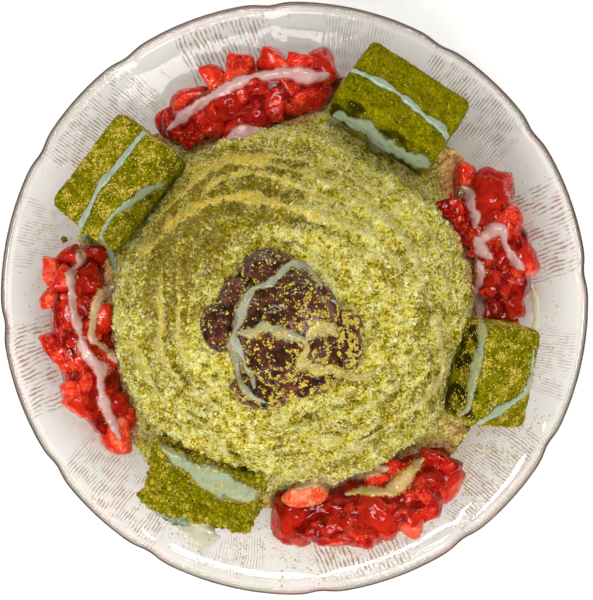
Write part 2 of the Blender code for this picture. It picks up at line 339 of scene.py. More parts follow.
def make_specks_group():
    """Scattered specks: the mask is 1 on a speck. More cover gives more of them."""
    sockets = (("Vector", "Vector"), ("Size", "Float", 0.001), ("Cover", "Float", 0.3))
    tree, given, out = new_tree("specks", "ShaderNodeTree", sockets, (("Mask", "Float"),))
    scale = calc(tree, "DIVIDE", 1.0, given.outputs["Size"])
    inputs = {"Vector": given.outputs["Vector"], "Scale": scale, "Detail": 4.0, "Roughness": 0.7}
    fine = wire(tree, "ShaderNodeTexNoise", inputs).outputs["Fac"]
    edge = calc(tree, "SUBTRACT", 0.72, calc(tree, "MULTIPLY", given.outputs["Cover"], 0.44))
    above = calc(tree, "SUBTRACT", fine, edge)
    tree.links.new(remap(tree, above, -0.02, 0.03), out.inputs["Mask"])
    return tree


GRAIN = make_grain_group()
SPECKS = make_specks_group()


def make_soy_group():
    """Soy powder too fine to be grains of its own: its gold, and the mask of where it lies."""
    sockets = (("Vector", "Vector"), ("Cover", "Float", 0.3))
    tree, given, out = new_tree("soy_film", "ShaderNodeTree", sockets, (("Mask", "Float"), ("Gold", "Color")))
    lying = wire(tree, "ShaderNodeGroup", {"Vector": given.outputs["Vector"]}, node_tree=SPECKS)
    lying.inputs["Size"].default_value = 1.3 * MM
    tree.links.new(given.outputs["Cover"], lying.inputs["Cover"])
    fine = wire(tree, "ShaderNodeTexNoise", {"Vector": given.outputs["Vector"], "Scale": 1100.0, "Detail": 3.0})
    light = remap(tree, fine.outputs["Fac"], 0.3, 0.7, kind="LINEAR")
    tree.links.new(lying.outputs["Mask"], out.inputs["Mask"])
    tree.links.new(mix(tree, light, shade(160, 138, 40), shade(204, 180, 78)), out.inputs["Gold"])
    return tree


SOY_FILM = make_soy_group()


def grain(tree, size, detail=3.0, warp=0.0):
    node = wire(tree, "ShaderNodeGroup", node_tree=GRAIN)
    tree.links.new(place(tree), node.inputs["Vector"])
    for key, value in (("Size", size), ("Detail", detail), ("Warp", warp)):
        node.inputs[key].default_value = value
    return node.outputs


def specks(tree, size, cover):
    node = wire(tree, "ShaderNodeGroup", node_tree=SPECKS)
    tree.links.new(place(tree), node.inputs["Vector"])
    node.inputs["Size"].default_value = size
    if isinstance(cover, bpy.types.NodeSocket):
        tree.links.new(cover, node.inputs["Cover"])
    else:
        node.inputs["Cover"].default_value = cover
    return node.outputs["Mask"]


def roughen(tree, shader, height, depth, strength=1.0):
    """Feeds the shader's normal from a height."""
    bump = wire(tree, "ShaderNodeBump", {"Height": height, "Distance": depth, "Strength": strength})
    tree.links.new(bump.outputs["Normal"], shader.inputs["Normal"])


def soy_paint(tree, colour, cover):
    """The colour with a film of soy powder over it."""
    film = wire(tree, "ShaderNodeGroup", node_tree=SOY_FILM)
    tree.links.new(place(tree), film.inputs["Vector"])
    tree.links.new(cover, film.inputs["Cover"])
    return mix(tree, film.outputs["Mask"], colour, film.outputs["Gold"])


def make_glass():
    material, tree, shader = principled(
        "clear_glass", Roughness=0.03, Transmission_Weight=1.0, IOR=1.48, Base_Color=shade(238, 235, 231)
    )
    across = attribute(tree, "groove_across")
    fan = attribute(tree, "fan")
    rim = attribute(tree, "rim")
    stain = attribute(tree, "stain")
    # The groove lines are painted darker and reddish brown: painted refraction of the dark surroundings seen through
    # the pressed grooves.
    wobble = calc(tree, "MULTIPLY", calc(tree, "SUBTRACT", grain(tree, 9 * MM)["Value"], 0.5), 0.7)
    fine_lines = calc(tree, "MULTIPLY", across, LINES_PER_GROOVE)
    phase = calc(tree, "FRACT", calc(tree, "ADD", fine_lines, wobble))
    away = calc(tree, "ABSOLUTE", calc(tree, "SUBTRACT", phase, 0.5))
    width = remap(tree, grain(tree, 3 * MM, 3.0)["Value"], 0.2, 0.8, 0.13, 0.42, "LINEAR")
    line = calc(tree, "SUBTRACT", 1.0, remap(tree, calc(tree, "DIVIDE", away, width), 0.4, 1.0))
    broken = remap(tree, grain(tree, 5 * MM, 4.0)["Value"], 0.15, 0.6)
    cut = calc(tree, "MULTIPLY", calc(tree, "MULTIPLY", line, broken), fan)
    tone = remap(tree, grain(tree, 14 * MM)["Value"], 0.35, 0.65)
    dark = mix(tree, tone, shade(148, 54, 40), shade(122, 82, 54))
    # The rim's thin darker outline is painted refraction.
    edge = mix(tree, tone, shade(196, 158, 150), shade(170, 166, 134))
    colour = mix(tree, calc(tree, "MULTIPLY", stain, broken), shade(238, 235, 231), shade(232, 176, 162))
    colour = mix(tree, calc(tree, "MULTIPLY", cut, 0.9), colour, dark)
    colour = mix(tree, calc(tree, "MULTIPLY", rim, 0.6), colour, edge)
    tree.links.new(colour, shader.inputs["Base Color"])
    return material


def make_ice(name, lit_tips):
    """Ice from the olive of a pore to the cream of a flake's tip, specked with leaf powder. lit_tips makes the flakes
    paler than the core beneath them: partly their own paler colour, partly painted light on top and painted shade in
    the pores.
    """
    material, tree, shader = principled(name, Roughness=0.85, Specular_IOR_Level=0.05)
    tone, band, stain, dusk = [attribute(tree, key) for key in ("tone", "band", "stain", "dusk")]
    gilt = calc(tree, "MULTIPLY", attribute(tree, "gilt"), 0.42)
    fine, broad = grain(tree, 1.1 * MM, 5.0, 0.4), grain(tree, 9 * MM, 2.0)
    high = calc(tree, "ADD", calc(tree, "MULTIPLY", tone, 0.55), calc(tree, "MULTIPLY", fine["Value"], 0.5))
    high = calc(tree, "ADD", high, lit_tips)
    stops = ((0.1, (66, 52, 0)), (0.32, (144, 126, 12)), (0.56, (199, 185, 70)), (0.88, (217, 214, 152)))
    colour = ramp(tree, high, stops)
    # Leaf powder specks thicken with dusk: partly real powder, partly painted shade.
    leafy = calc(tree, "ADD", calc(tree, "MULTIPLY", broad["Value"], 0.42), calc(tree, "MULTIPLY", dusk, 0.37))
    leafy = specks(tree, 1.3 * MM, calc(tree, "ADD", leafy, 0.1))
    powder = mix(tree, fine["Value"], shade(84, 64, 0), shade(146, 124, 16))
    colour = mix(tree, calc(tree, "MULTIPLY", leafy, 0.85), colour, powder)
    # Painted shade: the ice darkens toward olive with dusk.
    colour = mix(tree, remap(tree, dusk, 0.1, 1.1, 0.0, 0.2), colour, shade(92, 76, 2))
    milky = mix(tree, grain(tree, 2.5 * MM)["Value"], shade(140, 138, 78), shade(206, 204, 154))
    uneven = calc(tree, "ADD", calc(tree, "MULTIPLY", fine["Value"], 0.6), grain(tree, 3.5 * MM, 3.0)["Value"])
    uneven = calc(tree, "MULTIPLY", calc(tree, "SUBTRACT", uneven, 0.9), 0.8)
    ragged = calc(tree, "ADD", band, calc(tree, "MULTIPLY", uneven, remap(tree, band, 0.0, 0.3)))
    colour = mix(tree, remap(tree, ragged, 0.45, 0.7, 0.0, 0.8), colour, milky)
    colour = soy_paint(tree, colour, calc(tree, "MULTIPLY", ragged, calc(tree, "ADD", 0.42, gilt)))
    juicy = calc(tree, "MULTIPLY", stain, remap(tree, fine["Value"], 0.9, 0.2, 0.35, 0.95, "LINEAR"))
    colour = mix(tree, juicy, colour, mix(tree, fine["Value"], shade(158, 46, 36), shade(222, 150, 118)))
    warm = mix(tree, fine["Value"], shade(188, 110, 52), shade(234, 186, 134))
    colour = mix(tree, attribute(tree, "peach"), colour, warm)
    tree.links.new(colour, shader.inputs["Base Color"])
    roughen(tree, shader, fine["Height"], 1.2 * MM, 0.6)
    return material


# ---------------------------------------------------------------- bowl


def inner_height(radius):
    """Height of the bowl's inside above the table."""
    t = clamp((radius - FLOOR_RADIUS) / (RIM_RADIUS - FLOOR_RADIUS), 0, 2)
    return FLOOR_HEIGHT + (RIM_HEIGHT - FLOOR_HEIGHT) * (0.35 * t + 0.65 * smooth(t))


def outer_height(radius):
    step = 0.5 * MM
    slope = (inner_height(radius + step) - inner_height(radius - step)) / (2 * step)
    return inner_height(radius) - WALL * np.hypot(1, slope)


def rim_outline(angle):
    """How far the rim stands in or out at this direction, in degrees."""
    out = 0.7 * MM * np.cos(np.radians(2 * angle + 144))
    for quarter in range(4):
        for notch in NOTCH_ANGLES:
            away = turn_between(angle, notch + 90 * quarter)
            out = out - NOTCH_DEPTH * np.exp(-((away / NOTCH_WIDTH) ** 2) * 4)
    return out


def bowl_profile():
    """Half outline from the middle of the inside over the rim to the foot, as (radius, height, share of rim)."""
    lip = WALL / 2
    last_wall = RIM_RADIUS - lip * 1.5
    profile = [(radius, inner_height(radius), 0) for radius in np.linspace(6 * MM, FLOOR_RADIUS, 5)]
    profile += [(radius, inner_height(radius), 0) for radius in np.linspace(FLOOR_RADIUS, last_wall, 34)[1:]]
    for angle in np.radians(np.linspace(125, -50, 9)):
        radius = RIM_RADIUS - lip + lip * math.cos(angle)
        height = RIM_HEIGHT - lip + lip * math.sin(angle)
        profile.append((radius, height, smooth((radius - RIM_RADIUS + 1.6 * lip) / (0.8 * lip))))
    outer_from = FOOT_OUTER + 5 * MM
    profile += [(radius, outer_height(radius), 0) for radius in np.linspace(last_wall - 1 * MM, outer_from, 30)]
    foot_top = outer_height(FOOT_OUTER + 3 * MM)
    profile += [(FOOT_OUTER + 1 * MM, foot_top, 0), (FOOT_OUTER + 0.2 * MM, 0.6 * MM, 0)]
    profile += [(FOOT_OUTER - 0.6 * MM, 0, 0), (FOOT_INNER + 0.6 * MM, 0, 0)]
    profile += [(FOOT_INNER - 1.5 * MM, FOOT_RECESS, 0), (6 * MM, FOOT_RECESS, 0)]
    return profile


def make_groove_tree():
    """Presses one fan of grooves into the bowl's outside, once in every quarter turn."""
    sockets = [("Geometry", "Geometry"), ("Left At Rim", "Float"), ("Right At Rim", "Float")]
    sockets += [("Left Inside", "Float"), ("Right Inside", "Float"), ("Grooves", "Float"), ("Strength", "Float")]
    sockets += [("Depth", "Float")]
    tree, given, out = new_tree("pressed_fans", "GeometryNodeTree", sockets, (("Geometry", "Geometry"),))
    point = wire(tree, "ShaderNodeSeparateXYZ", {0: wire(tree, "GeometryNodeInputPosition").outputs[0]}).outputs
    normal = wire(tree, "GeometryNodeInputNormal").outputs[0]
    flat = wire(tree, "ShaderNodeCombineXYZ", {"X": point["X"], "Y": point["Y"]}).outputs[0]
    radius = calc_vector(tree, "LENGTH", flat)
    angle = calc(tree, "DEGREES", calc(tree, "ARCTAN2", point["Y"], point["X"]))
    quarter = calc(tree, "FLOORED_MODULO", angle, 90.0)
    inward = remap(tree, radius, GROOVE_FOOT, RIM_RADIUS, 1.0, 0.0, "LINEAR")

    def edge(side):
        rim, inside = given.outputs[side + " At Rim"], given.outputs[side + " Inside"]
        return calc(tree, "ADD", rim, calc(tree, "MULTIPLY", calc(tree, "SUBTRACT", inside, rim), inward))

    left, right = edge("Left"), edge("Right")
    across = calc(tree, "DIVIDE", calc(tree, "SUBTRACT", quarter, left), calc(tree, "SUBTRACT", right, left))
    within = calc(
        tree, "MULTIPLY", remap(tree, across, 0.0, 0.03), remap(tree, across, 0.97, 1.0, 1.0, 0.0)
    )
    reach = calc(
        tree,
        "MULTIPLY",
        remap(tree, radius, GROOVE_FOOT, GROOVE_FULL),
        remap(tree, radius, RIM_RADIUS - 2.5 * MM, RIM_RADIUS - 1 * MM, 1.0, 0.0),
    )
    mask = calc(tree, "MULTIPLY", calc(tree, "MULTIPLY", within, reach), given.outputs["Strength"])
    count = calc(tree, "MULTIPLY", across, given.outputs["Grooves"])
    wave = calc(tree, "COSINE", calc(tree, "MULTIPLY", calc(tree, "SUBTRACT", count, 0.5), math.tau))
    notch = calc(tree, "POWER", calc(tree, "MAXIMUM", wave, 0.0), 6.0)
    up = wire(tree, "ShaderNodeSeparateXYZ", {0: normal}).outputs["Z"]
    below = calc(tree, "LESS_THAN", up, -0.2)
    depth = calc(tree, "MULTIPLY", calc(tree, "MULTIPLY", notch, mask), given.outputs["Depth"])
    depth = calc(tree, "MULTIPLY", depth, below)
    offset = calc_vector(tree, "MULTIPLY", normal, wire(tree, "ShaderNodeCombineXYZ", {0: depth, 1: depth, 2: depth}).outputs[0])
    offset = calc_vector(tree, "MULTIPLY", offset, (-1.0, -1.0, -1.0))
    geometry = wire(tree, "GeometryNodeSetPosition", {"Geometry": given.outputs["Geometry"], "Offset": offset})
    geometry = geometry.outputs[0]
    kept = {}
    for name in ("fan", "groove_across"):
        kept[name] = wire(tree, "GeometryNodeInputNamedAttribute", {"Name": name}).outputs["Attribute"]
    fan_here = calc(tree, "MULTIPLY", mask, below)
    inside_fan = calc(tree, "GREATER_THAN", fan_here, 0.0)
    for name, value in (("groove_across", count), ("fan", fan_here)):
        added = calc(tree, "ADD", kept[name], calc(tree, "MULTIPLY", value, inside_fan))
        inputs = {"Geometry": geometry, "Name": name, "Value": added}
        geometry = wire(tree, "GeometryNodeStoreNamedAttribute", inputs, data_type="FLOAT").outputs[0]
    tree.links.new(geometry, out.inputs["Geometry"])
    return tree


def build_bowl(material):
    profile = np.array(bowl_profile(), float)
    turns = np.linspace(0, 360, BOWL_STEPS, endpoint=False)
    points = []
    for radius, height, _ in profile:
        share = smooth((radius - RIM_BAND) / (RIM_RADIUS - RIM_BAND))
        reach = radius + rim_outline(turns) * share
        ring = np.stack([reach * np.cos(np.radians(turns)), reach * np.sin(np.radians(turns))], axis=1)
        points.append(np.column_stack([ring, np.full(len(turns), height)]))
    points = np.concatenate(points + [np.array([[0, 0, FLOOR_HEIGHT], [0, 0, FOOT_RECESS]])])
    low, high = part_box("bowl")
    for axis in (0, 1):
        middle = (points[:, axis].max() + points[:, axis].min()) / 2
        size = points[:, axis].max() - points[:, axis].min()
        fitted = (points[:, axis] - middle) * (high[axis] - low[axis]) / size + (high[axis] + low[axis]) / 2
        outer = np.hypot(points[:, 0], points[:, 1]) > RIM_BAND
        points[:, axis] = np.where(outer, fitted, points[:, axis])
    rim = np.append(np.repeat(profile[:, 2], BOWL_STEPS), [0, 0])
    nothing = np.zeros(len(points))
    stain = stain_share(points, BERRY_NODES, JUICE_ON_GLASS) ** 2
    faces = lathe_faces(len(profile), BOWL_STEPS)
    mesh = mesh_from("glass_bowl", points, faces, rim=rim, fan=nothing, groove_across=nothing, stain=stain)
    bowl = object_from("glass_bowl", mesh)
    tree = make_groove_tree()
    for left, right, left_in, right_in, grooves, strength in FANS:
        bowl.data = run_tree(
            bowl,
            tree,
            Left_At_Rim=left,
            Right_At_Rim=right,
            Left_Inside=left_in,
            Right_Inside=right_in,
            Grooves=grooves,
            Strength=strength,
            Depth=0.16 * MM,
        )
    bowl.data.materials.clear()
    bowl.data.materials.append(material)
    return keep(bowl, "clear_glass", "bowl")


# ---------------------------------------------------------------- ice


BRICKS_ON_DOME = (146.6, 61.3, 339.4)  # directions where a brick leans on the dome


def dome_radius(angle):
    radius = DOME_RADIUS + 1.2 * MM * np.cos(np.radians(3 * angle + 40))
    for direction in BRICKS_ON_DOME:
        radius = radius - 4 * MM * np.exp(-((turn_between(angle, direction) / 17) ** 2))
    return radius


def ridge(radius, angle):
    """Height of the wound rounds of ice: full beads with a sharp valley between."""
    turns = radius / RIDGE_PITCH - angle / 360
    across = 2 * (turns % 1) - 1
    return RIDGE_DEPTH * (np.sqrt(np.maximum(1 - across * across, 0)) - 0.7)


def ice_height(x, y):
    """Top of the ice above the table."""
    angle = np.degrees(np.arctan2(y - DOME_Y, x - DOME_X))
    radius = np.hypot(x - DOME_X, y - DOME_Y)
    share = radius / dome_radius(angle)
    skirt = DOME_FOOT - (share - 1) * SKIRT_FALL
    dome = DOME_FOOT + (DOME_TOP - DOME_FOOT) * (1 - clamp(share) ** 2.3) ** 0.6
    fade = smooth(share * 5) * smooth((1 - share) * 5)
    return np.where(share >= 1, skirt, dome + ridge(radius, angle) * fade)


def skirt_radius(angle):
    return SKIRT_RADIUS + 1.5 * MM * np.sin(np.radians(5 * angle)) + 1 * MM * np.cos(np.radians(9 * angle))


# Milk and powder lie on the ice in rounds: each is a list of direction and distance from the middle
BANDS = (
    (
        (4.4, 0.98),
        ((166, 63), (157, 58.5), (145, 54), (132, 49.5), (118, 43.5), (96, 35), (72, 32), (54, 33.5), (30, 39), (12, 42)),
    ),
    ((3.2, 0.85), ((134, 53), (124, 54), (113, 52.5), (103, 48.5), (92, 44), (82, 41), (66, 39), (50, 40.5))),
    (
        (4.4, 0.98),
        ((129, 66), (116, 60), (100, 52), (84, 48), (71, 45), (60, 44), (49, 45), (37, 46), (20, 48), (6, 50)),
    ),
    ((3.2, 0.85), ((151, 63), (138, 60), (124, 60), (110, 58), (97, 55), (84, 53), (66, 52), (48, 52))),
    (
        (5.2, 1.0),
        ((6, 50), (-3, 52), (-11, 55.5), (-19, 61), (-27, 66), (-42, 64), (-56, 61.5), (-70, 62.5), (-84, 66), (-98, 73)),
    ),
    ((3.6, 0.85), ((30, 56), (18, 58), (4, 59), (-8, 62))),
    ((4.0, 0.9), ((166, 52.5), (176, 51.5), (188, 51.5), (200, 54.5), (210, 55), (222, 53), (236, 50))),
    ((3.0, 0.85), ((158, 47), (170, 44.5), (184, 44), (198, 46), (212, 47))),
    ((4.2, 0.92), ((196, 64.5), (204, 65), (216, 64.3), (224, 63), (232, 60), (238, 61), (247, 65.5), (256, 66))),
    ((3.8, 0.85), ((-58, 57.8), (-72, 56.7), (-83, 55), (-91, 56.5), (-101, 61))),
    ((3.2, 0.8), ((-20, 50), (-38, 51), (-56, 50), (-74, 48), (-92, 50))),
)


def polar(direction, radius):
    return Vector((radius * math.cos(math.radians(direction)), radius * math.sin(math.radians(direction)), 0))


def curve_through(points, step):
    """Points about a step apart on a smooth curve through the given ones."""
    points = [Vector(point) for point in points]
    ends = [points[0] * 2 - points[1], *points, points[-1] * 2 - points[-2]]
    found = []
    for before, start, stop, after in zip(ends, ends[1:], ends[2:], ends[3:]):
        count = max(1, round((stop - start).length / step))
        for index in range(count):
            t = index / count
            found.append(
                0.5
                * (
                    2 * start
                    + (stop - before) * t
                    + (2 * before - 5 * start + 4 * stop - after) * t**2
                    + (3 * start - before - 3 * stop + after) * t**3
                )
            )
    return found + [points[-1]]


def band_share(points):
    """How much of the milk and powder covers each point of the ice, 0 to 1, and how near the dips beside it are."""
    cover, beside = np.zeros(len(points)), np.zeros(len(points))
    for (width, strength), route in BANDS:
        line = curve_through([polar(direction, radius * MM) for direction, radius in route], 1.2 * MM)
        for index, spot in enumerate(line):
            end = min(index, len(line) - 1 - index) / 8
            uneven = 0.75 + 0.9 * noise.noise(spot * 90) + 0.5 * noise.noise(spot * 300)
            there = smooth((noise.noise(spot * 60 + Vector((0, 0, width))) + 0.5) / 0.45)
            half = width * MM / 2 * max(uneven, 0.25) * min(1, 0.35 + end)
            away = np.hypot(points[:, 0] - spot.x, points[:, 1] - spot.y)
            cover = np.maximum(cover, strength * (0.5 + 0.5 * there) * smooth((half * 1.5 - away) / half))
            dip = np.exp(-(((away - width * 0.5 * MM - DIP_AWAY) / DIP_WIDTH) ** 2))
            beside = np.maximum(beside, strength * min(1, end) * dip)
    return cover, beside * (1 - cover)


def make_crumble_tree():
    """Breaks a smooth surface into lumps and crumbs, as far as its attribute loose says."""
    sockets = [("Geometry", "Geometry"), ("Lump Size", "Float"), ("Lump Height", "Float")]
    sockets += [("Crumb Size", "Float"), ("Crumb Height", "Float"), ("Seed", "Float")]
    tree, given, out = new_tree("crumble", "GeometryNodeTree", sockets, (("Geometry", "Geometry"),))
    loose = wire(tree, "GeometryNodeInputNamedAttribute", {"Name": "loose"}).outputs["Attribute"]
    normal = wire(tree, "GeometryNodeInputNormal").outputs[0]

    def bumps(size, detail, shift):
        scale = calc(tree, "DIVIDE", 1.0, given.outputs[size])
        inputs = {"Scale": scale, "Detail": detail, "Roughness": 0.65}
        inputs["W"] = calc(tree, "ADD", given.outputs["Seed"], shift)
        return wire(tree, "ShaderNodeTexNoise", inputs, noise_dimensions="4D").outputs["Fac"]

    lumps, crumbs = bumps("Lump Size", 2.0, 0.0), bumps("Crumb Size", 3.0, 7.0)
    lump_height = calc(tree, "MULTIPLY", calc(tree, "SUBTRACT", lumps, 0.5), given.outputs["Lump Height"])
    crumb_height = calc(tree, "MULTIPLY", calc(tree, "SUBTRACT", crumbs, 0.5), given.outputs["Crumb Height"])
    height = calc(tree, "MULTIPLY", calc(tree, "ADD", lump_height, crumb_height), loose)
    height = calc(tree, "MULTIPLY", height, 4.0)
    offset = wire(tree, "ShaderNodeVectorMath", {0: normal, "Scale": height}, operation="SCALE").outputs[0]
    moved = wire(tree, "GeometryNodeSetPosition", {"Geometry": given.outputs["Geometry"], "Offset": offset})
    # tone follows the crumbs' height, so the hollows between crumbs come out darker: partly the surface's own colour,
    # partly painted shade in the hollows.
    tone = remap(tree, crumbs, 0.35, 0.65, kind="LINEAR")
    inputs = {"Geometry": moved.outputs[0], "Name": "tone", "Value": tone}
    stored = wire(tree, "GeometryNodeStoreNamedAttribute", inputs, data_type="FLOAT")
    tree.links.new(stored.outputs[0], out.inputs["Geometry"])
    return tree


def stain_share(points, names, reach):
    """1 where a point touches one of the CAD nodes, falling to 0 at the reach."""
    surface = surface_of(*(frame["nodes"][name] for name in names))
    away = [surface.find_nearest(Vector(point), reach)[3] for point in points]
    return np.array([0.0 if gap is None else 1 - gap / reach for gap in away])


BERRY_NODES = ("strawberries_top", "strawberries_left", "strawberries_bottom", "strawberries_right")


# Spots of ice that juice has coloured peach: direction and distance of each, its reach and its strength
PEACH_SPOTS = ((39.5, 86.5 * MM, 7 * MM, 1.0), (-38.9, 86 * MM, 5.5 * MM, 0.6))


def build_ice(material, tree):
    radii = np.linspace(0, 1, 1200)
    x = DOME_X + radii * SKIRT_RADIUS
    profile = ice_height(x, np.full(len(x), DOME_Y))
    length = np.concatenate([[0], np.cumsum(np.hypot(np.diff(x), np.diff(profile)))])
    shares = np.interp(np.linspace(0.08, 1, ICE_RINGS) * length[-1], length, radii)
    angles = np.linspace(0, 360, ICE_STEPS, endpoint=False)
    edge_x = skirt_radius(angles) * np.cos(np.radians(angles))
    edge_y = skirt_radius(angles) * np.sin(np.radians(angles))

    def ring(share, top):
        x = DOME_X + (edge_x - DOME_X) * share
        y = DOME_Y + (edge_y - DOME_Y) * share
        floor = inner_height(np.hypot(x, y))
        z = np.maximum(ice_height(x, y), floor + SKIRT_LIP) if top else floor - INTO_GLASS
        return np.stack([x, y, z], axis=1)

    rings = [ring(share, True) for share in shares]
    rings += [ring(share, False) for share in np.linspace(1, 0.1, 26)]
    middle_top = (DOME_X, DOME_Y, DOME_TOP - 1 * MM)
    middle_low = (DOME_X, DOME_Y, FLOOR_HEIGHT - INTO_GLASS)
    points = np.concatenate(rings + [np.array([middle_top, middle_low])])
    top = np.append(np.repeat([1.0] * ICE_RINGS + [0.0] * 26, ICE_STEPS), [1, 0])
    band, beside = band_share(points)
    band, beside = band * top, beside * top
    stain = np.maximum(stain_share(points, BERRY_NODES, 3.5 * MM), stain_share(points, BERRY_NODES[3:], 9 * MM))
    stain = stain**0.6
    peach = np.zeros(len(points))
    for direction, away, reach, strength in PEACH_SPOTS:
        off = ((points - np.array(polar(direction, away)))[:, :2] ** 2).sum(1)
        peach = np.maximum(peach, strength * np.exp(-off / reach**2) * top)
    # dusk: more leaf powder and painted shade over the upper left of the mound, between its foot and its top, less
    # over the upper right, and painted shade in the dips beside the bands.
    angle = np.degrees(np.arctan2(points[:, 1], points[:, 0]))
    dusk = smooth(1 - np.abs(turn_between(angle, 140)) / 75) - 0.8 * smooth(1 - np.abs(turn_between(angle, 50)) / 40)
    dusk = dusk * smooth((points[:, 2] - 40 * MM) / (40 * MM)) * smooth((99 * MM - points[:, 2]) / (14 * MM))
    gilt = smooth(1 - np.abs(turn_between(angle, 140)) / 100)
    loose = top * (1 - 0.6 * band) * smooth((points[:, 2] - 18 * MM) / (6 * MM))
    points[:, 2] += BAND_RISE * band - DIP_DEPTH * beside
    mesh = mesh_from(
        "ice_core", points, lathe_faces(len(rings), ICE_STEPS),
        loose=loose, band=band, stain=stain, dusk=clamp(dusk + 0.4 * beside, -1), top=top, gilt=gilt, peach=peach,
    )
    core = object_from("ice_core", mesh)
    core.data = run_tree(
        core, tree, Lump_Size=7 * MM, Lump_Height=1.8 * MM, Crumb_Size=3.1 * MM, Crumb_Height=1.9 * MM, Seed=SEED
    )
    core.data.materials.clear()
    core.data.materials.append(material)
    return keep(core, "green_tea_ice", "ice_mound")


# ---------------------------------------------------------------- scattering


def make_scatter_tree():
    """Strews small shapes over a surface, where the named mask lets them lie."""
    sockets = [("Geometry", "Geometry"), ("Density", "Float"), ("Mask", "String"), ("Shapes", "Collection")]
    sockets += [("Smallest", "Float"), ("Largest", "Float"), ("Tilt", "Float"), ("Sink", "Float")]
    sockets += [("Material", "Material"), ("Seed", "Int")]
    tree, given, out = new_tree("strewn", "GeometryNodeTree", sockets, (("Geometry", "Geometry"),))
    give = given.outputs
    mask = wire(tree, "GeometryNodeInputNamedAttribute", {"Name": give["Mask"]}).outputs["Attribute"]
    inputs = {"Mesh": give["Geometry"], "Density": calc(tree, "MULTIPLY", mask, give["Density"]), "Seed": give["Seed"]}
    strewn = wire(tree, "GeometryNodeDistributePointsOnFaces", inputs)

    def chance(low, high, shift, kind="FLOAT"):
        first = {"FLOAT_VECTOR": 0, "FLOAT": 2, "INT": 4}[kind]
        seed = calc(tree, "ADD", give["Seed"], float(shift))
        node = wire(tree, "FunctionNodeRandomValue", {first: low, first + 1: high, "Seed": seed}, data_type=kind)
        return node.outputs[{"FLOAT_VECTOR": 0, "FLOAT": 1, "INT": 2}[kind]]

    lean = wire(tree, "ShaderNodeCombineXYZ", {0: give["Tilt"], 1: give["Tilt"], 2: math.pi}).outputs[0]
    turn = calc_vector(tree, "MULTIPLY", chance((-1.0, -1.0, -1.0), (1.0, 1.0, 1.0), 1, "FLOAT_VECTOR"), lean)
    inputs = {"Rotation": strewn.outputs["Rotation"], "Rotate By": turn}
    rotation = wire(tree, "FunctionNodeRotateRotation", inputs, rotation_space="LOCAL").outputs[0]
    share = calc(tree, "POWER", chance(0.0, 1.0, 2), 1.6)
    size = calc(tree, "ADD", give["Smallest"], calc(tree, "MULTIPLY", share, calc(tree, "SUBTRACT", give["Largest"], give["Smallest"])))
    depth = calc(tree, "MULTIPLY", calc(tree, "MULTIPLY", size, give["Sink"]), -1.0)
    sink = wire(tree, "ShaderNodeVectorMath", {0: strewn.outputs["Normal"], "Scale": depth}, operation="SCALE").outputs[0]
    settled = wire(tree, "GeometryNodeSetPosition", {"Geometry": strewn.outputs["Points"], "Offset": sink}).outputs[0]
    inputs = {"Geometry": settled, "Name": "speck", "Value": chance(0.0, 1.0, 3)}
    settled = wire(tree, "GeometryNodeStoreNamedAttribute", inputs, data_type="FLOAT").outputs[0]
    shapes = wire(tree, "GeometryNodeCollectionInfo", {"Collection": give["Shapes"], "Separate Children": True, "Reset Children": True})
    inputs = {"Points": settled, "Instance": shapes.outputs[0], "Pick Instance": True, "Rotation": rotation, "Scale": size}
    inputs["Instance Index"] = chance(0, 99, 4, "INT")
    placed = wire(tree, "GeometryNodeInstanceOnPoints", inputs).outputs[0]
    realized = wire(tree, "GeometryNodeRealizeInstances", {"Geometry": placed}).outputs[0]
    finished = wire(tree, "GeometryNodeSetMaterial", {"Geometry": realized, "Material": give["Material"]}).outputs[0]
    tree.links.new(finished, out.inputs["Geometry"])
    return tree


def hidden_shapes(name, meshes):
    """A collection of shapes to strew, one metre across. It's removed when the strewing is done."""
    collection = bpy.data.collections.new(name)
    for index, mesh in enumerate(meshes):
        collection.objects.link(bpy.data.objects.new(f"{name}_{index}", mesh))
    return collection


def drop_shapes(collection):
    for obj in list(collection.objects):
        bpy.data.objects.remove(obj)
    bpy.data.collections.remove(collection)


def shard_mesh(index, long, wide, thick, bend):
    """A sliver of ice, or a grain where long, wide and thick are alike: eight faces."""
    rng = random.Random(index)
    ends = [(0.5, 0, bend), (-0.5, 0, bend), (0, 0.5, 0), (0, -0.5, 0), (0, 0, 0.5), (0, 0, -0.5)]
    points = []
    for x, y, z in ends:
        jitter = [rng.uniform(0.75, 1.2) for _ in range(3)]
        shift = rng.uniform(-0.18, 0.18)
        points.append((x * long * jitter[0] + shift * long * (x == 0), y * wide * jitter[1], z * thick * jitter[2]))
    faces = [(0, 2, 4), (2, 1, 4), (1, 3, 4), (3, 0, 4), (2, 0, 5), (1, 2, 5), (3, 1, 5), (0, 3, 5)]
    return mesh_from(f"shard_{index}", points, faces, smooth_shaded=False)


def strew(name, source, tree, shapes, material, count, mask, smallest, largest, tilt, sink, seed):
    """Strews about as many shapes as said over the source, by the share of it that the mask leaves open."""
    mesh = source.data
    mesh.calc_loop_triangles()
    open_share = np.zeros(len(mesh.vertices), np.float32)
    mesh.attributes[mask].data.foreach_get("value", open_share)
    corners = np.empty(len(mesh.loop_triangles) * 3, np.int32)
    mesh.loop_triangles.foreach_get("vertices", corners)
    areas = np.empty(len(mesh.loop_triangles), np.float32)
    mesh.loop_triangles.foreach_get("area", areas)
    open_area = float((areas * open_share[corners.reshape(-1, 3)].mean(axis=1)).sum())
    made = run_tree(
        source,
        tree,
        Density=count / open_area,
        Mask=mask,
        Shapes=shapes,
        Smallest=smallest,
        Largest=largest,
        Tilt=tilt,
        Sink=sink,
        Material=material,
        Seed=seed,
    )
    made.name = name
    return object_from(name, made)


def add_mask(obj, name, values):
    attribute = obj.data.attributes.get(name) or obj.data.attributes.new(name, "FLOAT", "POINT")
    attribute.data.foreach_set("value", np.asarray(values, np.float32))


def values_of(obj, name):
    values = np.zeros(len(obj.data.vertices), np.float32)
    obj.data.attributes[name].data.foreach_get("value", values)
    return values


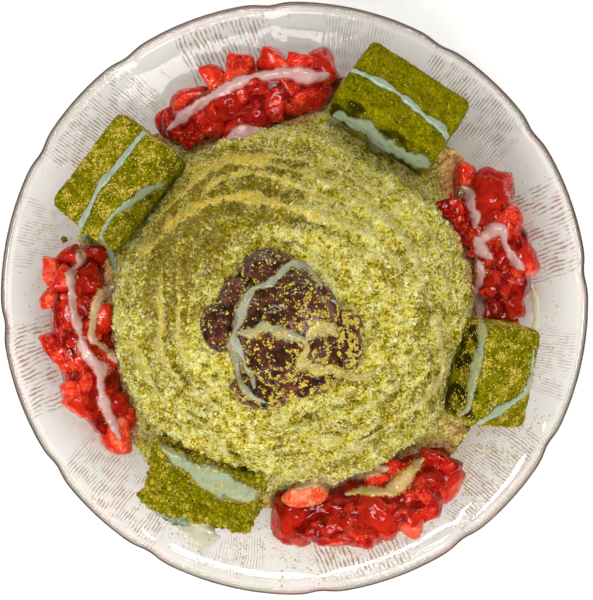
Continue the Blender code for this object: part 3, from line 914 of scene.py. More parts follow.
def build_flakes(core, tree, material):
    """Loose slivers of shaved ice over the whole mound."""
    points = points_of(core.data)
    band, top, tone = values_of(core, "band"), values_of(core, "top"), values_of(core, "tone")
    rim = smooth((np.hypot(points[:, 0], points[:, 1]) - 86 * MM) / (4 * MM))
    add_mask(core, "flaky", top * (1 - 0.6 * band) * (0.06 + 0.94 * tone**1.5) * (1 - 0.6 * rim))
    thin = hidden_shapes("slivers", [shard_mesh(index, 1, 0.22, 0.12, 0.35) for index in range(4)])
    made = []
    for index, (count, smallest, largest) in enumerate(((21500, 1.5 * MM, 3.3 * MM), (21500, 1 * MM, 2.4 * MM))):
        flakes = strew(
            f"ice_flakes_{index + 1}", core, tree, thin, material, count, "flaky",
            smallest, largest, 0.6, -0.1, SEED + index,
        )
        made.append(keep(flakes, "green_tea_ice"))
    drop_shapes(thin)
    return made


# ---------------------------------------------------------------- bricks


BRICK_THICKNESS = 22 * MM
BRICK_EDGE = 3.5 * MM
BRICK_STEP = 0.5 * MM
# Name, direction from the middle, distance and height of the centre, length, width, lean, turn, then how rough
# its powder is, how much soy powder lies on it and how wide the damp strip along the ice is, dark as wetness and
# painted shade
BRICKS = (
    ("brick_upper_left", 146.6, 83.5 * MM, 50 * MM, 46 * MM, 29 * MM, 29, -5, 1.0, 0.7, -0.6 * MM),
    ("brick_upper_right", 61.3, 86 * MM, 50.5 * MM, 47 * MM, 30.5 * MM, 25, -5.6, 0.9, 0.03, 0.7 * MM),
    ("brick_right", 339.4, 84 * MM, 51 * MM, 40 * MM, 27 * MM, 35, 12, 1.0, 0.75, 0.6 * MM),
    ("brick_lower_left", 244.2, 80.5 * MM, 48 * MM, 45 * MM, 28 * MM, 25, 12, 4.5, 0.6, 0.2 * MM),
)


def brick_frame(direction, distance, height, lean, turn):
    """Long side across the way out, width down the slope, thickness outwards and up."""
    out = Matrix.Rotation(math.radians(direction), 4, "Z")
    shift = Matrix.Translation((distance, 0, height))
    tilt = Matrix.Rotation(math.radians(lean), 4, "Y")
    spin = Matrix.Rotation(math.radians(turn), 4, "Z")
    return out @ shift @ tilt @ spin


def rounded_box(size, edge, step):
    """A closed box of small squares with rounded edges, round the origin, as its points and faces."""
    half = np.array(size) / 2
    points, faces, start = [], [], 0
    for axis in range(3):
        u, v = (axis + 1) % 3, (axis + 2) % 3
        across, along = round(size[u] / step), round(size[v] / step)
        for side in (-1, 1):
            grid = np.zeros((across + 1, along + 1, 3))
            grid[..., u] = np.linspace(-half[u], half[u], across + 1)[:, None]
            grid[..., v] = np.linspace(-half[v], half[v], along + 1)[None, :]
            grid[..., axis] = side * half[axis]
            points.append(grid.reshape(-1, 3))
            for i in range(across):
                for j in range(along):
                    corner = start + i * (along + 1) + j
                    face = (corner, corner + along + 1, corner + along + 2, corner + 1)
                    faces.append(face if side > 0 else face[::-1])
            start += (across + 1) * (along + 1)
    points = np.concatenate(points)
    inner = clamp(points, -(half - edge), half - edge)
    away = points - inner
    return inner + away / np.linalg.norm(away, axis=1)[:, None] * edge, faces


def transformed(points, frame_of_piece):
    matrix = np.array(frame_of_piece)
    return points @ matrix[:3, :3].T + matrix[:3, 3]


def build_brick(brick, material, tree, seed):
    name, direction, distance, height, length, width, lean, turn, rough, _, damp_shaded_strip = brick
    points, faces = rounded_box((width, length, BRICK_THICKNESS), BRICK_EDGE, BRICK_STEP)
    side_x, side_y = points[:, 0] / (width / 2), points[:, 1] / (length / 2)
    points[:, 0] *= 1 + 0.015 * side_x - 0.015 * side_y
    ragged = np.array([noise.noise(Vector(point) * 160 + Vector((seed, 0, 0))) for point in points])
    # wet: the strip along the side toward the ice, dark as real wetness and as painted shade in the crevice between
    # brick and ice.
    wet = smooth((damp_shaded_strip - width / 2 * (1 + side_x) + 1.6 * MM * ragged) / (0.9 * MM))
    under = smooth((-points[:, 2] / (BRICK_THICKNESS / 2) - 0.2) / 0.5)
    points = transformed(points, brick_frame(direction, distance, height, lean, turn))
    mesh = mesh_from(name, points, faces, wet=wet, loose=1 - 0.8 * wet, under=under)
    bm = bmesh.new()
    bm.from_mesh(mesh)
    bmesh.ops.remove_doubles(bm, verts=bm.verts, dist=0.01 * MM)
    bm.to_mesh(mesh)
    bm.free()
    body = object_from(name + "_cake", mesh)
    body.data = run_tree(
        body, tree, Lump_Size=5 * MM, Lump_Height=0.35 * rough * MM, Crumb_Size=1.3 * MM,
        Crumb_Height=0.42 * MM * rough**0.6, Seed=seed,
    )
    body.data.materials.clear()
    body.data.materials.append(material)
    return keep(body, "green_tea_powder", name)


def make_powdered():
    """Green tea powder over the cakes, dark and wet where they touch the ice: the dark there is partly wetness, partly
    painted shade of the crevice.
    """
    material, tree, shader = principled("green_tea_powder", Roughness=0.95, Specular_IOR_Level=0.06)
    tone, wet = attribute(tree, "tone"), attribute(tree, "wet")
    fine, broad = grain(tree, 0.7 * MM, 3.0), grain(tree, 6 * MM, 2.0)
    # Lower tone in the hollows between crumbs is partly painted shade.
    high = calc(tree, "ADD", calc(tree, "MULTIPLY", tone, 0.45), calc(tree, "MULTIPLY", fine["Value"], 0.4))
    high = calc(tree, "ADD", high, calc(tree, "MULTIPLY", broad["Value"], 0.2))
    stops = ((0.1, (46, 43, 0)), (0.4, (86, 82, 0)), (0.72, (124, 117, 0)), (1.0, (160, 148, 22)))
    colour = ramp(tree, high, stops)
    # Near-black green along the ice: wetness and painted shade.
    damp_shaded_strip = mix(tree, fine["Value"], shade(22, 20, 0), shade(52, 46, 4))
    colour = mix(tree, wet, colour, damp_shaded_strip)
    colour = soy_paint(tree, colour, calc(tree, "MULTIPLY", attribute(tree, "soy"), 0.55))
    tree.links.new(colour, shader.inputs["Base Color"])
    tree.links.new(remap(tree, wet, 0.2, 0.9, 0.95, 0.3), shader.inputs["Roughness"])
    roughen(tree, shader, fine["Height"], 0.5 * MM, 0.7)
    return material


# ---------------------------------------------------------------- strawberries


# Diced pieces of each heap: direction, distance from the middle, length, then s for skin up or c for a cut face up,
# and how pale it is
HEAPS = {
    "strawberries_top": (
        (118, 91, 13, "c", 0.5), (125, 89.5, 9, "s", 0.3), (125, 83.5, 11, "c", 0.1), (121, 79.5, 10, "c", 0.1),
        (114, 82, 7, "c", 0.3), (114.5, 77, 10, "c", 0.2), (109, 92, 12, "c", 0.6), (108, 82, 10, "s", 0.0),
        (109, 73.5, 12, "c", 0.3), (103.5, 93, 13, "c", 0.5), (104, 86.5, 12, "c", 0.3), (103, 75.5, 14, "s", 0.0),
        (98.5, 85.5, 18, "s", 0.3), (94, 93, 14, "c", 0.5), (91, 86, 12, "c", 0.2), (89.5, 80.5, 13, "c", 0.4),
        (84, 83.5, 13, "c", 0.1), (84, 94, 12, "s", 0.5), (88, 92.5, 11, "c", 0.5), (97, 78, 11, "c", 0.1),
    ),
    "strawberries_left": (
        (176, 84, 12, "s", 0.0), (173.5, 97, 10, "c", 0.8), (179.3, 97.5, 9, "c", 0.8), (170, 93, 8, "s", 0.4),
        (168, 83, 9, "s", 0.1), (176, 92.5, 9, "c", 0.5), (184.5, 91, 12, "c", 0.3), (187.5, 79, 11, "c", 0.6),
        (195, 92, 19, "c", 0.4), (202.5, 92, 13, "c", 0.6), (207, 91, 14, "c", 0.1), (216.5, 92, 13, "c", 0.8),
        (216, 86, 9, "c", 0.2), (210.5, 84, 9, "s", 0.0), (206, 95.5, 9, "s", 0.7), (180.2, 84, 10, "c", 0.0),
        (199, 79.5, 8, "c", 0.2), (190, 85, 10, "c", 0.1),
    ),
    "strawberries_bottom": (
        (-90.5, 90.5, 16, "s", 0.3), (-80, 93.5, 13, "s", 0.4), (-74.5, 96.5, 14, "c", 0.3), (-69, 94, 15, "s", 0.5),
        (-68.6, 88.5, 12, "s", 0.1), (-57, 96, 15, "c", 0.2), (-50, 89, 13, "c", 0.1), (-49.5, 95.5, 12, "s", 0.7),
        (-65, 82, 10, "c", 0.5), (-60, 85, 14, "c", 0.2), (-75, 89, 10, "c", 0.0), (-83.5, 86, 12, "s", 0.1),
        (-61.5, 99, 12, "s", 0.8), (-54.5, 90, 11, "c", 0.1),
    ),
    "strawberries_right": (
        (27.8, 89, 18, "s", 0.2), (34, 85, 11, "c", 0.5), (18.7, 91, 12, "c", 0.5), (20.2, 86.5, 10, "s", 0.2),
        (11, 93, 13, "s", 0.5), (17, 80, 13, "c", 0.1), (3.6, 84.5, 12, "s", 0.4), (4, 79.5, 10, "c", 0.1),
        (-1.4, 89.5, 9, "s", 0.5), (-6, 84.5, 11, "s", 0.4), (28.5, 74, 8, "c", 0.1), (22.5, 75, 8, "c", 0.2),
        (11.5, 85.5, 10, "c", 0.1), (-2, 82, 8, "c", 0.1),
        (31.5, 75.5, 5, "c", 0.4), (25.5, 73.5, 5, "c", 0.3), (19.5, 73.5, 5, "c", 0.5), (14.5, 75, 5, "c", 0.1),
        (8, 77, 6, "c", 0.4), (1, 77.5, 6, "c", 0.3), (-3.5, 79.5, 5, "c", 0.4),
    ),
}
PIECE_SCALE = 1.26
PALE_SLICE_HEAP = "strawberries_bottom"
PALE_SLICE = (-86, 79, 19, 10, 5)  # direction, distance, length, width and thickness of the one flat slice
SYRUP_DROP = (32, 81, 9, 6.5, 4)  # the same for the one clear drop of syrup
SEED_SPACING = 2.9 * MM


def ball(level):
    """Directions all round, and the faces between them."""
    bm = bmesh.new()
    bmesh.ops.create_icosphere(bm, subdivisions=level, radius=1)
    directions = np.array([vertex.co[:] for vertex in bm.verts])
    faces = [[vertex.index for vertex in face.verts] for face in bm.faces]
    bm.free()
    return directions / np.linalg.norm(directions, axis=1)[:, None], faces


BALL, BALL_FACES = ball(4)
SEED_BALL, SEED_BALL_FACES = ball(1)


def diced_piece(length, rng):
    """A piece of a strawberry: skin on top, knife cuts on the sides and under it. Points, and the share of skin."""
    width, height = length * rng.uniform(0.68, 0.9), length * rng.uniform(0.55, 0.75)
    skin_radii = np.array([length * 0.75, width * 0.75, height * 1.1])
    skin_centre = np.array([rng.uniform(-0.1, 0.1) * length, rng.uniform(-0.1, 0.1) * width, height * 0.5 - height * 1.1])
    ray, start = BALL / skin_radii, -skin_centre / skin_radii
    a, b, c = (ray * ray).sum(1), (ray * start).sum(1), (start * start).sum() - 1
    reach = [(-b + np.sqrt(b * b - a * c)) / a]
    cuts = [(1, 0, 0, length), (-1, 0, 0, length), (0, 1, 0, width), (0, -1, 0, width), (0, 0, -1, height)]
    if rng.random() < 0.6:
        cuts.append((rng.choice((-1, 1)), rng.choice((-1, 1)), 0.4, (length + width) * 0.62))
    for x, y, z, across in cuts:
        facing = Vector((x, y, z)).normalized()
        facing.rotate(Euler([rng.uniform(-0.3, 0.3) for _ in range(3)]))
        toward = BALL @ np.array(facing)
        reach.append(np.where(toward > 0.02, across / 2 / np.maximum(toward, 0.02), 10.0))
    reach = np.stack(reach)
    power = rng.uniform(6, 12)
    sharpness = reach**-power
    radius = sharpness.sum(0) ** (-1 / power)
    skin = sharpness[0] / sharpness.sum(0)
    points = BALL * radius[:, None]
    shift = Vector((rng.uniform(0, 50), 0, 0))
    soft = np.array([noise.noise(Vector(point) * 170 + shift) + 0.4 * noise.noise(Vector(point) * 420 + shift) for point in points])
    return points * (1 + 0.17 * soft)[:, None], skin


def seed_spots(points, skin, rng):
    """Places on the skin about a seed's spacing apart, as indices of points."""
    order = [index for index in range(len(points)) if skin[index] > 0.9]
    rng.shuffle(order)
    chosen = []
    for index in order:
        if all(np.linalg.norm(points[index] - points[other]) > SEED_SPACING for other in chosen):
            chosen.append(index)
    return chosen


def dimpled(points, spots):
    """The skin sinks round each seed."""
    normal = points / np.linalg.norm(points, axis=1)[:, None]
    for spot in spots:
        away = np.linalg.norm(points - points[spot], axis=1)
        points = points - normal * (0.45 * MM * np.exp(-((away / (0.8 * MM)) ** 2)))[:, None]
    return points


def turned_towards(normal, rng):
    """A rotation that takes +Z to the normal, with any turn about it."""
    return Vector(normal).to_track_quat("Z", "Y").to_matrix() @ Matrix.Rotation(rng.uniform(0, math.tau), 3, "Z")


def flat_slice(length, width, thick):
    """A thin slice lying flat, its long side along +X."""
    points = BALL * np.array([length, width, thick]) / 2
    points[:, 2] = thick / 2 * np.sign(BALL[:, 2]) * np.sqrt(np.abs(BALL[:, 2]))
    soft = np.array([noise.noise(Vector(point) * 150) for point in points])
    return points * (1 + 0.35 * soft)[:, None]


def build_heap(name, pieces, surfaces, flesh, pulp_material, rng):
    """Diced strawberries over a smaller core. Returns the heap, its core and the places of its seeds."""
    heap = surface_of(frame["nodes"][name])
    points, faces, skins, pales, seeds = [], [], [], [], []

    def add_piece(body, skin, pale):
        faces.extend([corner + len(body) * len(points) for corner in face] for face in BALL_FACES)
        points.append(body)
        skins.append(skin)
        pales.append(np.full(len(body), pale))

    for direction, radius, length, facing, pale in pieces:
        spot = polar(direction, radius * MM)
        body, skin = diced_piece(PIECE_SCALE * length * MM, rng)
        spots = seed_spots(body, skin, rng)
        body = dimpled(body, spots)
        lean = Euler((rng.uniform(-0.45, 0.45), rng.uniform(-0.45, 0.45), 0))
        if facing == "c":
            lean = Euler((rng.choice((-1, 1)) * rng.uniform(1.2, 1.9), rng.uniform(-0.5, 0.5), 0))
        turn = Matrix.Rotation(rng.uniform(0, math.tau), 3, "Z") @ lean.to_matrix()
        body = body @ np.array(turn).T
        top = heap.ray_cast(spot + Vector((0, 0, 1)), (0, 0, -1))[0]
        ground = surfaces.ray_cast(spot + Vector((0, 0, 1)), (0, 0, -1))[0]
        crest = top.z + 1.2 * MM if top else ground.z + 0.62 * length * MM
        half = (body[:, 2].max() - body[:, 2].min()) / 2
        lowest = ground.z + 0.8 * half
        height = max(crest - half + rng.uniform(-0.8, 0.8) * MM, min(lowest, crest))
        place_at = np.array([spot.x, spot.y, height])
        add_piece(body + place_at, skin, pale)
        outward = body / np.linalg.norm(body, axis=1)[:, None]
        seeds += [(body[index] + place_at, outward[index]) for index in spots]
    if name == PALE_SLICE_HEAP:
        direction, radius, length, width, thick = PALE_SLICE
        spot = polar(direction, radius * MM)
        rest = heap.find_nearest(Vector((spot.x, spot.y, 60 * MM)))[0]
        turn = Matrix.Rotation(math.radians(direction + 97), 3, "Z") @ Matrix.Rotation(0.3, 3, "X")
        body = flat_slice(length * MM, width * MM, thick * MM) @ np.array(turn).T
        body += np.array([spot.x, spot.y, rest.z + thick / 2 * MM])
        add_piece(body, np.zeros(len(body)), 1.0)
    diced = mesh_from(
        name + "_diced", np.concatenate(points), faces, skin=np.concatenate(skins), pale=np.concatenate(pales)
    )
    diced = keep(object_from(name + "_diced", diced, flesh), "strawberry_in_syrup")
    return diced, build_pulp(name, pulp_material), seeds


def build_pulp(name, material):
    """The smaller core of a heap: crushed fruit and syrup."""
    bm = bmesh.new()
    bm.from_mesh(frame["nodes"][name].data)
    bmesh.ops.remove_doubles(bm, verts=bm.verts, dist=0.01 * MM)
    bmesh.ops.subdivide_edges(bm, edges=bm.edges, cuts=3, use_grid_fill=True)
    bmesh.ops.smooth_vert(bm, verts=bm.verts, factor=0.5, use_axis_x=True, use_axis_y=True, use_axis_z=True)
    bm.normal_update()
    for vertex in bm.verts:
        bump = noise.noise(vertex.co * 240) * 1.6 * MM
        vertex.co += vertex.normal * (bump - 0.9 * MM)
    mesh = bpy.data.meshes.new(name + "_pulp")
    bm.to_mesh(mesh)
    bm.free()
    mesh.shade_smooth()
    pulp = object_from(name + "_pulp", mesh, material)
    return keep(pulp, "strawberry_in_syrup", name)


def build_seeds(seeds, material, rng):
    """Every strawberry seed, as one mesh of small drops."""
    points, faces, total = [], [], 0
    shape = SEED_BALL * np.array([0.68, 0.46, 0.33]) * MM
    shape[:, 1] *= 1 - 0.4 * shape[:, 0] / (0.62 * MM)
    for spot, normal in seeds:
        turn = np.array(turned_towards(normal, rng))
        points.append(shape @ turn.T + spot - normal * 0.32 * MM)
        faces += [[corner + total for corner in face] for face in SEED_BALL_FACES]
        total += len(shape)
    mesh = mesh_from("strawberry_seeds", np.concatenate(points), faces)
    return keep(object_from("strawberry_seeds", mesh, material), "strawberry_in_syrup")


def make_flesh():
    """Strawberry in syrup: crimson skin, and cut faces from deep red to orange with pale streaks."""
    material, tree, shader = principled(
        "strawberry_flesh", Roughness=0.35, Coat_Weight=0.8, Coat_Roughness=0.05, Specular_IOR_Level=0.0,
        Subsurface_Weight=0.15, Subsurface_Scale=1.0
    )
    shader.inputs["Subsurface Radius"].default_value = (2.4 * MM, 0.6 * MM, 0.4 * MM)
    skin, pale = attribute(tree, "skin"), attribute(tree, "pale")
    broad, fine = grain(tree, 4 * MM, 2.0, 0.6), grain(tree, 1.5 * MM, 5.0, 1.2)
    high = calc(tree, "ADD", calc(tree, "MULTIPLY", pale, 0.52), calc(tree, "MULTIPLY", broad["Value"], 0.38))
    high = calc(tree, "ADD", high, calc(tree, "MULTIPLY", fine["Value"], 0.14))
    cut = ramp(tree, high, ((0.05, (92, 2, 0)), (0.3, (150, 10, 4)), (0.55, (206, 42, 20)), (0.78, (222, 84, 52)), (1.0, (222, 152, 118))))
    streaks = remap(tree, fine["Value"], 0.62, 0.95)
    cut = mix(tree, calc(tree, "MULTIPLY", streaks, 0.42), cut, shade(226, 142, 118))
    outside = mix(tree, high, shade(112, 0, 0), shade(212, 44, 22))
    colour = mix(tree, remap(tree, skin, 0.5, 0.9), cut, outside)
    tree.links.new(colour, shader.inputs["Base Color"])
    roughen(tree, shader, fine["Height"], 1.4 * MM, 0.8)
    return material


def make_pulp():
    material, tree, shader = principled(
        "strawberry_pulp", Roughness=0.35, Coat_Weight=0.8, Coat_Roughness=0.05, Specular_IOR_Level=0.0
    )
    colour = ramp(tree, grain(tree, 4 * MM, 3.0)["Value"], ((0.1, (84, 2, 0)), (0.6, (140, 12, 6)), (1.0, (186, 60, 40))))
    tree.links.new(colour, shader.inputs["Base Color"])
    roughen(tree, shader, grain(tree, 1.5 * MM)["Height"], 0.8 * MM, 0.4)
    return material


def build_syrup(surfaces, material):
    """The one clear drop of syrup that stands on the fruit."""
    direction, radius, length, width, thick = SYRUP_DROP
    spot = polar(direction, radius * MM)
    rest = surfaces.ray_cast(spot + Vector((0, 0, 1)), (0, 0, -1))[0]
    points = BALL * np.array([length, width, thick]) * MM / 2
    points = points @ np.array(Matrix.Rotation(0.4, 3, "Z")).T + np.array(rest)
    drop = object_from("syrup_drop", mesh_from("syrup_drop", points, BALL_FACES), material)
    return keep(drop, "strawberry_in_syrup")


def make_syrup():
    return principled("clear_syrup", Roughness=0.02, Transmission_Weight=0.9, IOR=1.36, Base_Color=shade(214, 178, 120))[0]


def make_seed():
    material, tree, shader = principled("seed_husk", Roughness=0.35)
    colour = mix(tree, grain(tree, 5 * MM)["Value"], shade(64, 34, 14), shade(122, 84, 30))
    tree.links.new(colour, shader.inputs["Base Color"])
    return material


# ---------------------------------------------------------------- beans


SCOOP = Vector((-1.5 * MM, -12 * MM, 100 * MM))
# Lobes of the scoop: middle right, up and above SCOOP, half width, depth and height in millimetres, turn in degrees
LOBES = (
    (0, 1.5, 0, 21.5, 20, 14.5, 20),
    (-7, 21.5, -4, 12, 8.5, 10, 0),
    (-18, 12.5, -5, 8.5, 8, 8.5, 0),
    (-26, 1.5, -5.5, 7.5, 9.5, 8, 0),
    (16.5, -5.5, -4, 10.5, 13, 11, -20),
    (3, -17, -5, 17, 8, 9.5, 8),
    (-10.5, -22.5, -6.5, 11.5, 6.5, 7, -8),
)
BEANS = 34
BEAN_BALL, BEAN_BALL_FACES = ball(3)


def lumpy_lobe(lobe, seed):
    """One lobe of the paste: a ball drawn out of round, with a coarse surface. Its points and faces."""
    x, y, z, *half, turn = lobe
    directions, faces = ball(6 if seed == 0 else 5)
    shift = Vector((seed * 9.0, 0, 0))
    soft = [noise.noise(Vector(one) * 1.6 + shift) + 0.45 * noise.noise(Vector(one) * 3.6 + shift) for one in directions]
    points = directions * (1 + 0.17 * np.array(soft))[:, None] * np.array(half) * MM
    points = points @ np.array(Matrix.Rotation(math.radians(turn), 3, "Z")).T + np.array(SCOOP) + np.array((x, y, z)) * MM
    coarse = [noise.noise(Vector(point) * 330) * 0.5 + noise.noise(Vector(point) * 900) * 0.2 for point in points]
    return points + directions * (np.array(coarse) * MM)[:, None], faces


def build_scoop(material, rng):
    """Coarse sweet bean paste with whole beans lying sunk in it."""
    points, faces, total = [], [], 0
    for seed, lobe in enumerate(LOBES):
        body, sides = lumpy_lobe(lobe, seed)
        points.append(body)
        faces += [[corner + total for corner in side] for side in sides]
        total += len(body)
    paste = mesh_from("bean_paste", np.concatenate(points), faces)
    paste = keep(object_from("bean_paste", paste, material), "sweet_beans", "bean_scoop")
    surface = surface_of(paste)
    points, faces, total, placed = [], [], 0, []
    tries = 0
    while len(placed) < BEANS and tries < 4000:
        tries += 1
        direction = Vector((rng.gauss(0, 1), rng.gauss(0, 1), rng.gauss(0.5, 0.8))).normalized()
        hit, normal, _, _ = surface.ray_cast(SCOOP + direction * 60 * MM, -direction)
        if hit is None or hit.z < 92 * MM or any((hit - other).length < 6 * MM for other in placed):
            continue
        placed.append(hit)
        long = rng.uniform(5.6, 7.2) * MM
        shape = BEAN_BALL * np.array([long, long * 0.66, long * 0.6]) / 2
        shape[:, 2] -= 0.25 * MM * (1 - (shape[:, 0] / (long / 2)) ** 2)
        turn = np.array(turned_towards(normal, rng))
        sunk = np.array(hit) - np.array(normal) * rng.uniform(0.7, 1.7) * MM
        body = shape @ turn.T + sunk
        wrinkle = np.array([noise.noise(Vector(point) * 700) for point in body])
        body += BEAN_BALL @ turn.T * (wrinkle * 0.22 * MM)[:, None]
        points.append(body)
        faces += [[corner + total for corner in face] for face in BEAN_BALL_FACES]
        total += len(body)
    beans = mesh_from("sweet_beans", np.concatenate(points), faces)
    return paste, keep(object_from("sweet_beans", beans, material), "sweet_beans")


def make_beans():
    """Glossy boiled beans and paste, from near black to red brown."""
    material, tree, shader = principled(
        "sweet_bean_paste", Roughness=0.4, Coat_Weight=0.6, Coat_Roughness=0.08, Specular_IOR_Level=0.1
    )
    broad, fine = grain(tree, 6 * MM, 3.0, 0.8), grain(tree, 1.2 * MM, 4.0)
    high = calc(tree, "ADD", calc(tree, "MULTIPLY", broad["Value"], 0.75), calc(tree, "MULTIPLY", fine["Value"], 0.25))
    colour = ramp(tree, high, ((0.15, (26, 12, 4)), (0.5, (60, 30, 16)), (0.8, (88, 46, 30)), (1.0, (128, 56, 34))))
    colour = soy_paint(tree, colour, calc(tree, "MULTIPLY", attribute(tree, "soy"), 0.72))
    tree.links.new(colour, shader.inputs["Base Color"])
    roughen(tree, shader, fine["Height"], 0.9 * MM, 0.5)
    return material


# ---------------------------------------------------------------- condensed milk


STRAND_STEP = 0.5 * MM


def around(*stops):
    """A route as directions in degrees and distances in millimetres from the middle."""
    return [polar(direction, radius * MM) for direction, radius in stops]


def across(*stops):
    """A route as millimetres right and up from the middle."""
    return [Vector((x * MM, y * MM, 0)) for x, y in stops]


# What is under the milk shows through it: l for leaf powder, b for berries, d for dark beans, c where it is thick
# cream, and g where it is thin on the glass.
# Each strand: under, width at the start, middle and end, height, share of soy powder on it, route
STRANDS = (
    ("l", (2.6, 2.9, 3.2), 1.5, 0.1, around((130, 88), (135, 87.3), (143, 86.7), (150, 88.1), (158, 88), (165, 90))),
    ("l", (3.2, 2.4, 2.6), 1.0, 0.25, around((139, 68.6), (144, 71.9), (148, 73.4), (152, 75.7), (156, 78.3))),
    ("l", (2.4, 2.4, 3.0), 1.0, 0.2, around((156, 78.3), (161, 79.4), (164, 78.8), (167, 76.5), (171, 74))),
    ("l", (2.6, 3.1, 2.8), 1.5, 0.02, around((77.4, 92.8), (71, 91.6), (65, 90.5), (59, 88.9), (53.7, 87.6), (49.5, 88), (45, 86))),
    ("l", (3.0, 4.2, 3.4), 1.3, 0.05, around((79.2, 72.4), (75.8, 74.6), (71.3, 73), (66.4, 73.3), (62, 70.2), (57.5, 70.8), (50.5, 71.7), (46.5, 73.6), (44, 75))),
    ("l", (3.4, 3.0, 2.4), 1.2, 0.5, around((-6.4, 74), (-12.7, 75), (-21.3, 76), (-27.5, 78), (-32, 80.3), (-35.7, 79.9))),
    ("l", (2.0, 2.4, 3.2), 1.2, 0.2, around((-12, 96.6), (-19, 99), (-22.8, 98.2), (-28.5, 92), (-35, 86.7))),
    ("l", (4.5, 7.4, 8.0), 1.6, 0.45, around((228, 78), (236, 77.8), (243, 78.3), (249.6, 78.7), (255.7, 79), (260.5, 77.6))),
    ("l", (2.4, 3.4, 4.6), 1.4, 0.05, across((-60.5, -82), (-55, -87), (-49.6, -89.2), (-44, -90.4), (-40, -91.5))),
    ("c", (4.6, 6.0, 6.4), 1.1, 0.08, across((-42, -91.2), (-36, -93), (-33.5, -95))),
    ("g", (6.0, 11.0, 6.0), 0.6, 0.08, across((-46, -94), (-38, -97.5), (-32, -97))),
    ("b", (3.6, 4.2, 4.6), 1.6, 0.08, around((127, 85.4), (119.3, 86.3), (112.2, 87.4), (107.8, 88.2), (103.5, 89.5), (100, 91))),
    ("b", (4.6, 4.6, 6.0), 1.7, 0.0, around((100, 91), (96.6, 90), (92.6, 90.6), (88.5, 89.6), (84.6, 89.4), (81.5, 91))),
    ("b", (3.0, 5.0, 3.0), 1.2, 0.1, around((113, 69.6), (109, 70), (105.8, 69.3), (101, 69))),
    ("b", (3.0, 4.6, 4.0), 1.5, 0.08, around((16.4, 75.5), (18, 80.4), (18.9, 84.6), (17.7, 87.2), (14.8, 86.8))),
    ("b", (4.4, 3.8, 3.4), 1.4, 0.05, around((14.8, 86.8), (11.9, 88.1), (9, 90), (7.2, 92.2))),
    ("b", (6.0, 10.0, 5.5), 1.5, 0.08, around((18.5, 76.5), (14.5, 77.5), (11.6, 80.5))),
    ("b", (3.4, 3.8, 6.5), 1.3, 0.08, around((34, 80.5), (31.6, 82.5), (27.6, 80.3), (24.2, 80), (21.7, 78))),
    ("b", (2.6, 3.2, 3.4), 1.1, 0.35, around((12.3, 75), (8.7, 75.5), (4.7, 74.5), (1.3, 73.3), (-3, 75.7), (-6.5, 75.2))),
    ("g", (1.8, 2.2, 2.2), 0.6, 0.15, around((5.9, 96.4), (3, 97), (0, 98.2), (-4.5, 99), (-8.4, 99.2))),
    ("b", (3.0, 4.2, 3.6), 1.4, 0.75, around((-75.2, 81.6), (-70.7, 82), (-67.3, 83.8), (-64, 86), (-59.8, 85.3), (-55.1, 83.4), (-51.3, 83))),
    ("b", (5.0, 4.0, 3.4), 1.2, 0.6, around((-89.4, 75.3), (-83.7, 74.1), (-77.4, 76), (-71, 76.3), (-65, 76.7), (-61.2, 78.1))),
    ("b", (4.0, 3.2, 2.8), 1.5, 0.3, around((167, 88.9), (170.3, 88), (173, 90), (177, 89.5), (181, 88.9), (185, 88.1), (190, 86.9))),
    ("b", (3.0, 4.4, 1.4), 1.5, 0.2, around((190, 86.9), (193.5, 86.8), (197, 84.8), (200, 82.7), (204, 85.2), (208, 86.9), (212, 88.2), (219, 90))),
    ("b", (3.0, 3.4, 2.6), 1.2, 0.55, around((175.4, 74.1), (179.4, 77.8), (183.3, 80.7), (187, 81.5), (191, 82.6), (194, 79.6), (197, 77.4), (200, 76))),
    ("d", (3.0, 3.2, 3.4), 1.4, 0.35, across((6.5, 10.5), (2.7, 12.1), (-1.6, 12.3), (-8.9, 5.6), (-14.7, 3.4), (-18, -2.1), (-20.1, -7.2), (-22, -12.2))),
    ("d", (3.2, 2.6, 2.4), 1.3, 0.4, across((-22, -12.2), (-22.8, -17.7), (-21.2, -26.8), (-19.5, -32.2), (-14.7, -37), (-10.7, -38.5))),
    ("d", (2.4, 2.2, 2.0), 1.2, 0.2, across((-21.5, -14), (-20.2, -18.5), (-18.6, -23.9), (-16, -27.8), (-14.7, -33))),
    ("d", (3.4, 3.6, 3.4), 1.6, 0.6, across((-21.2, -12.6), (-14.7, -12.8), (-11.4, -10.4), (-4.5, -12.6), (0.5, -14.2), (3.8, -15.4))),
    ("d", (3.2, 4.6, 5.0), 1.0, 0.75, across((3.8, -15.4), (7.8, -12), (12.5, -10.8), (15.5, -13.6))),
    ("d", (3.2, 3.8, 5.4), 1.3, 0.75, across((3.8, -15.4), (4.6, -18.8), (2.4, -22.6), (6, -25.6), (11.4, -26.6), (13.6, -25))),
    ("d", (2.6, 2.4, 2.6), 1.0, 0.75, across((13.6, -26), (16.9, -27.8), (20, -29.3), (25, -29.6), (31, -27.8))),
    ("d", (1.8, 2.0, 1.8), 1.0, 0.05, across((2.7, 12), (6.7, 9.5), (10, 4.5))),
    ("d", (1.6, 1.8, 1.4), 0.9, 0.02, across((13.6, -0.8), (16.2, -2), (18, -4.2))),
)
UNDER_MILK = {"l": (0, 1, 0, 0), "b": (1, 0, 0, 0), "d": (0, 0, 1, 0), "c": (0, 0, 0, 0), "g": (0, 0, 0, 1)}


MILK_STEP = 0.45 * MM
MILK_REACH = 106 * MM
MILK_EDGE = math.exp(-1.1)
MILK_SUNK = 0.9 * MM


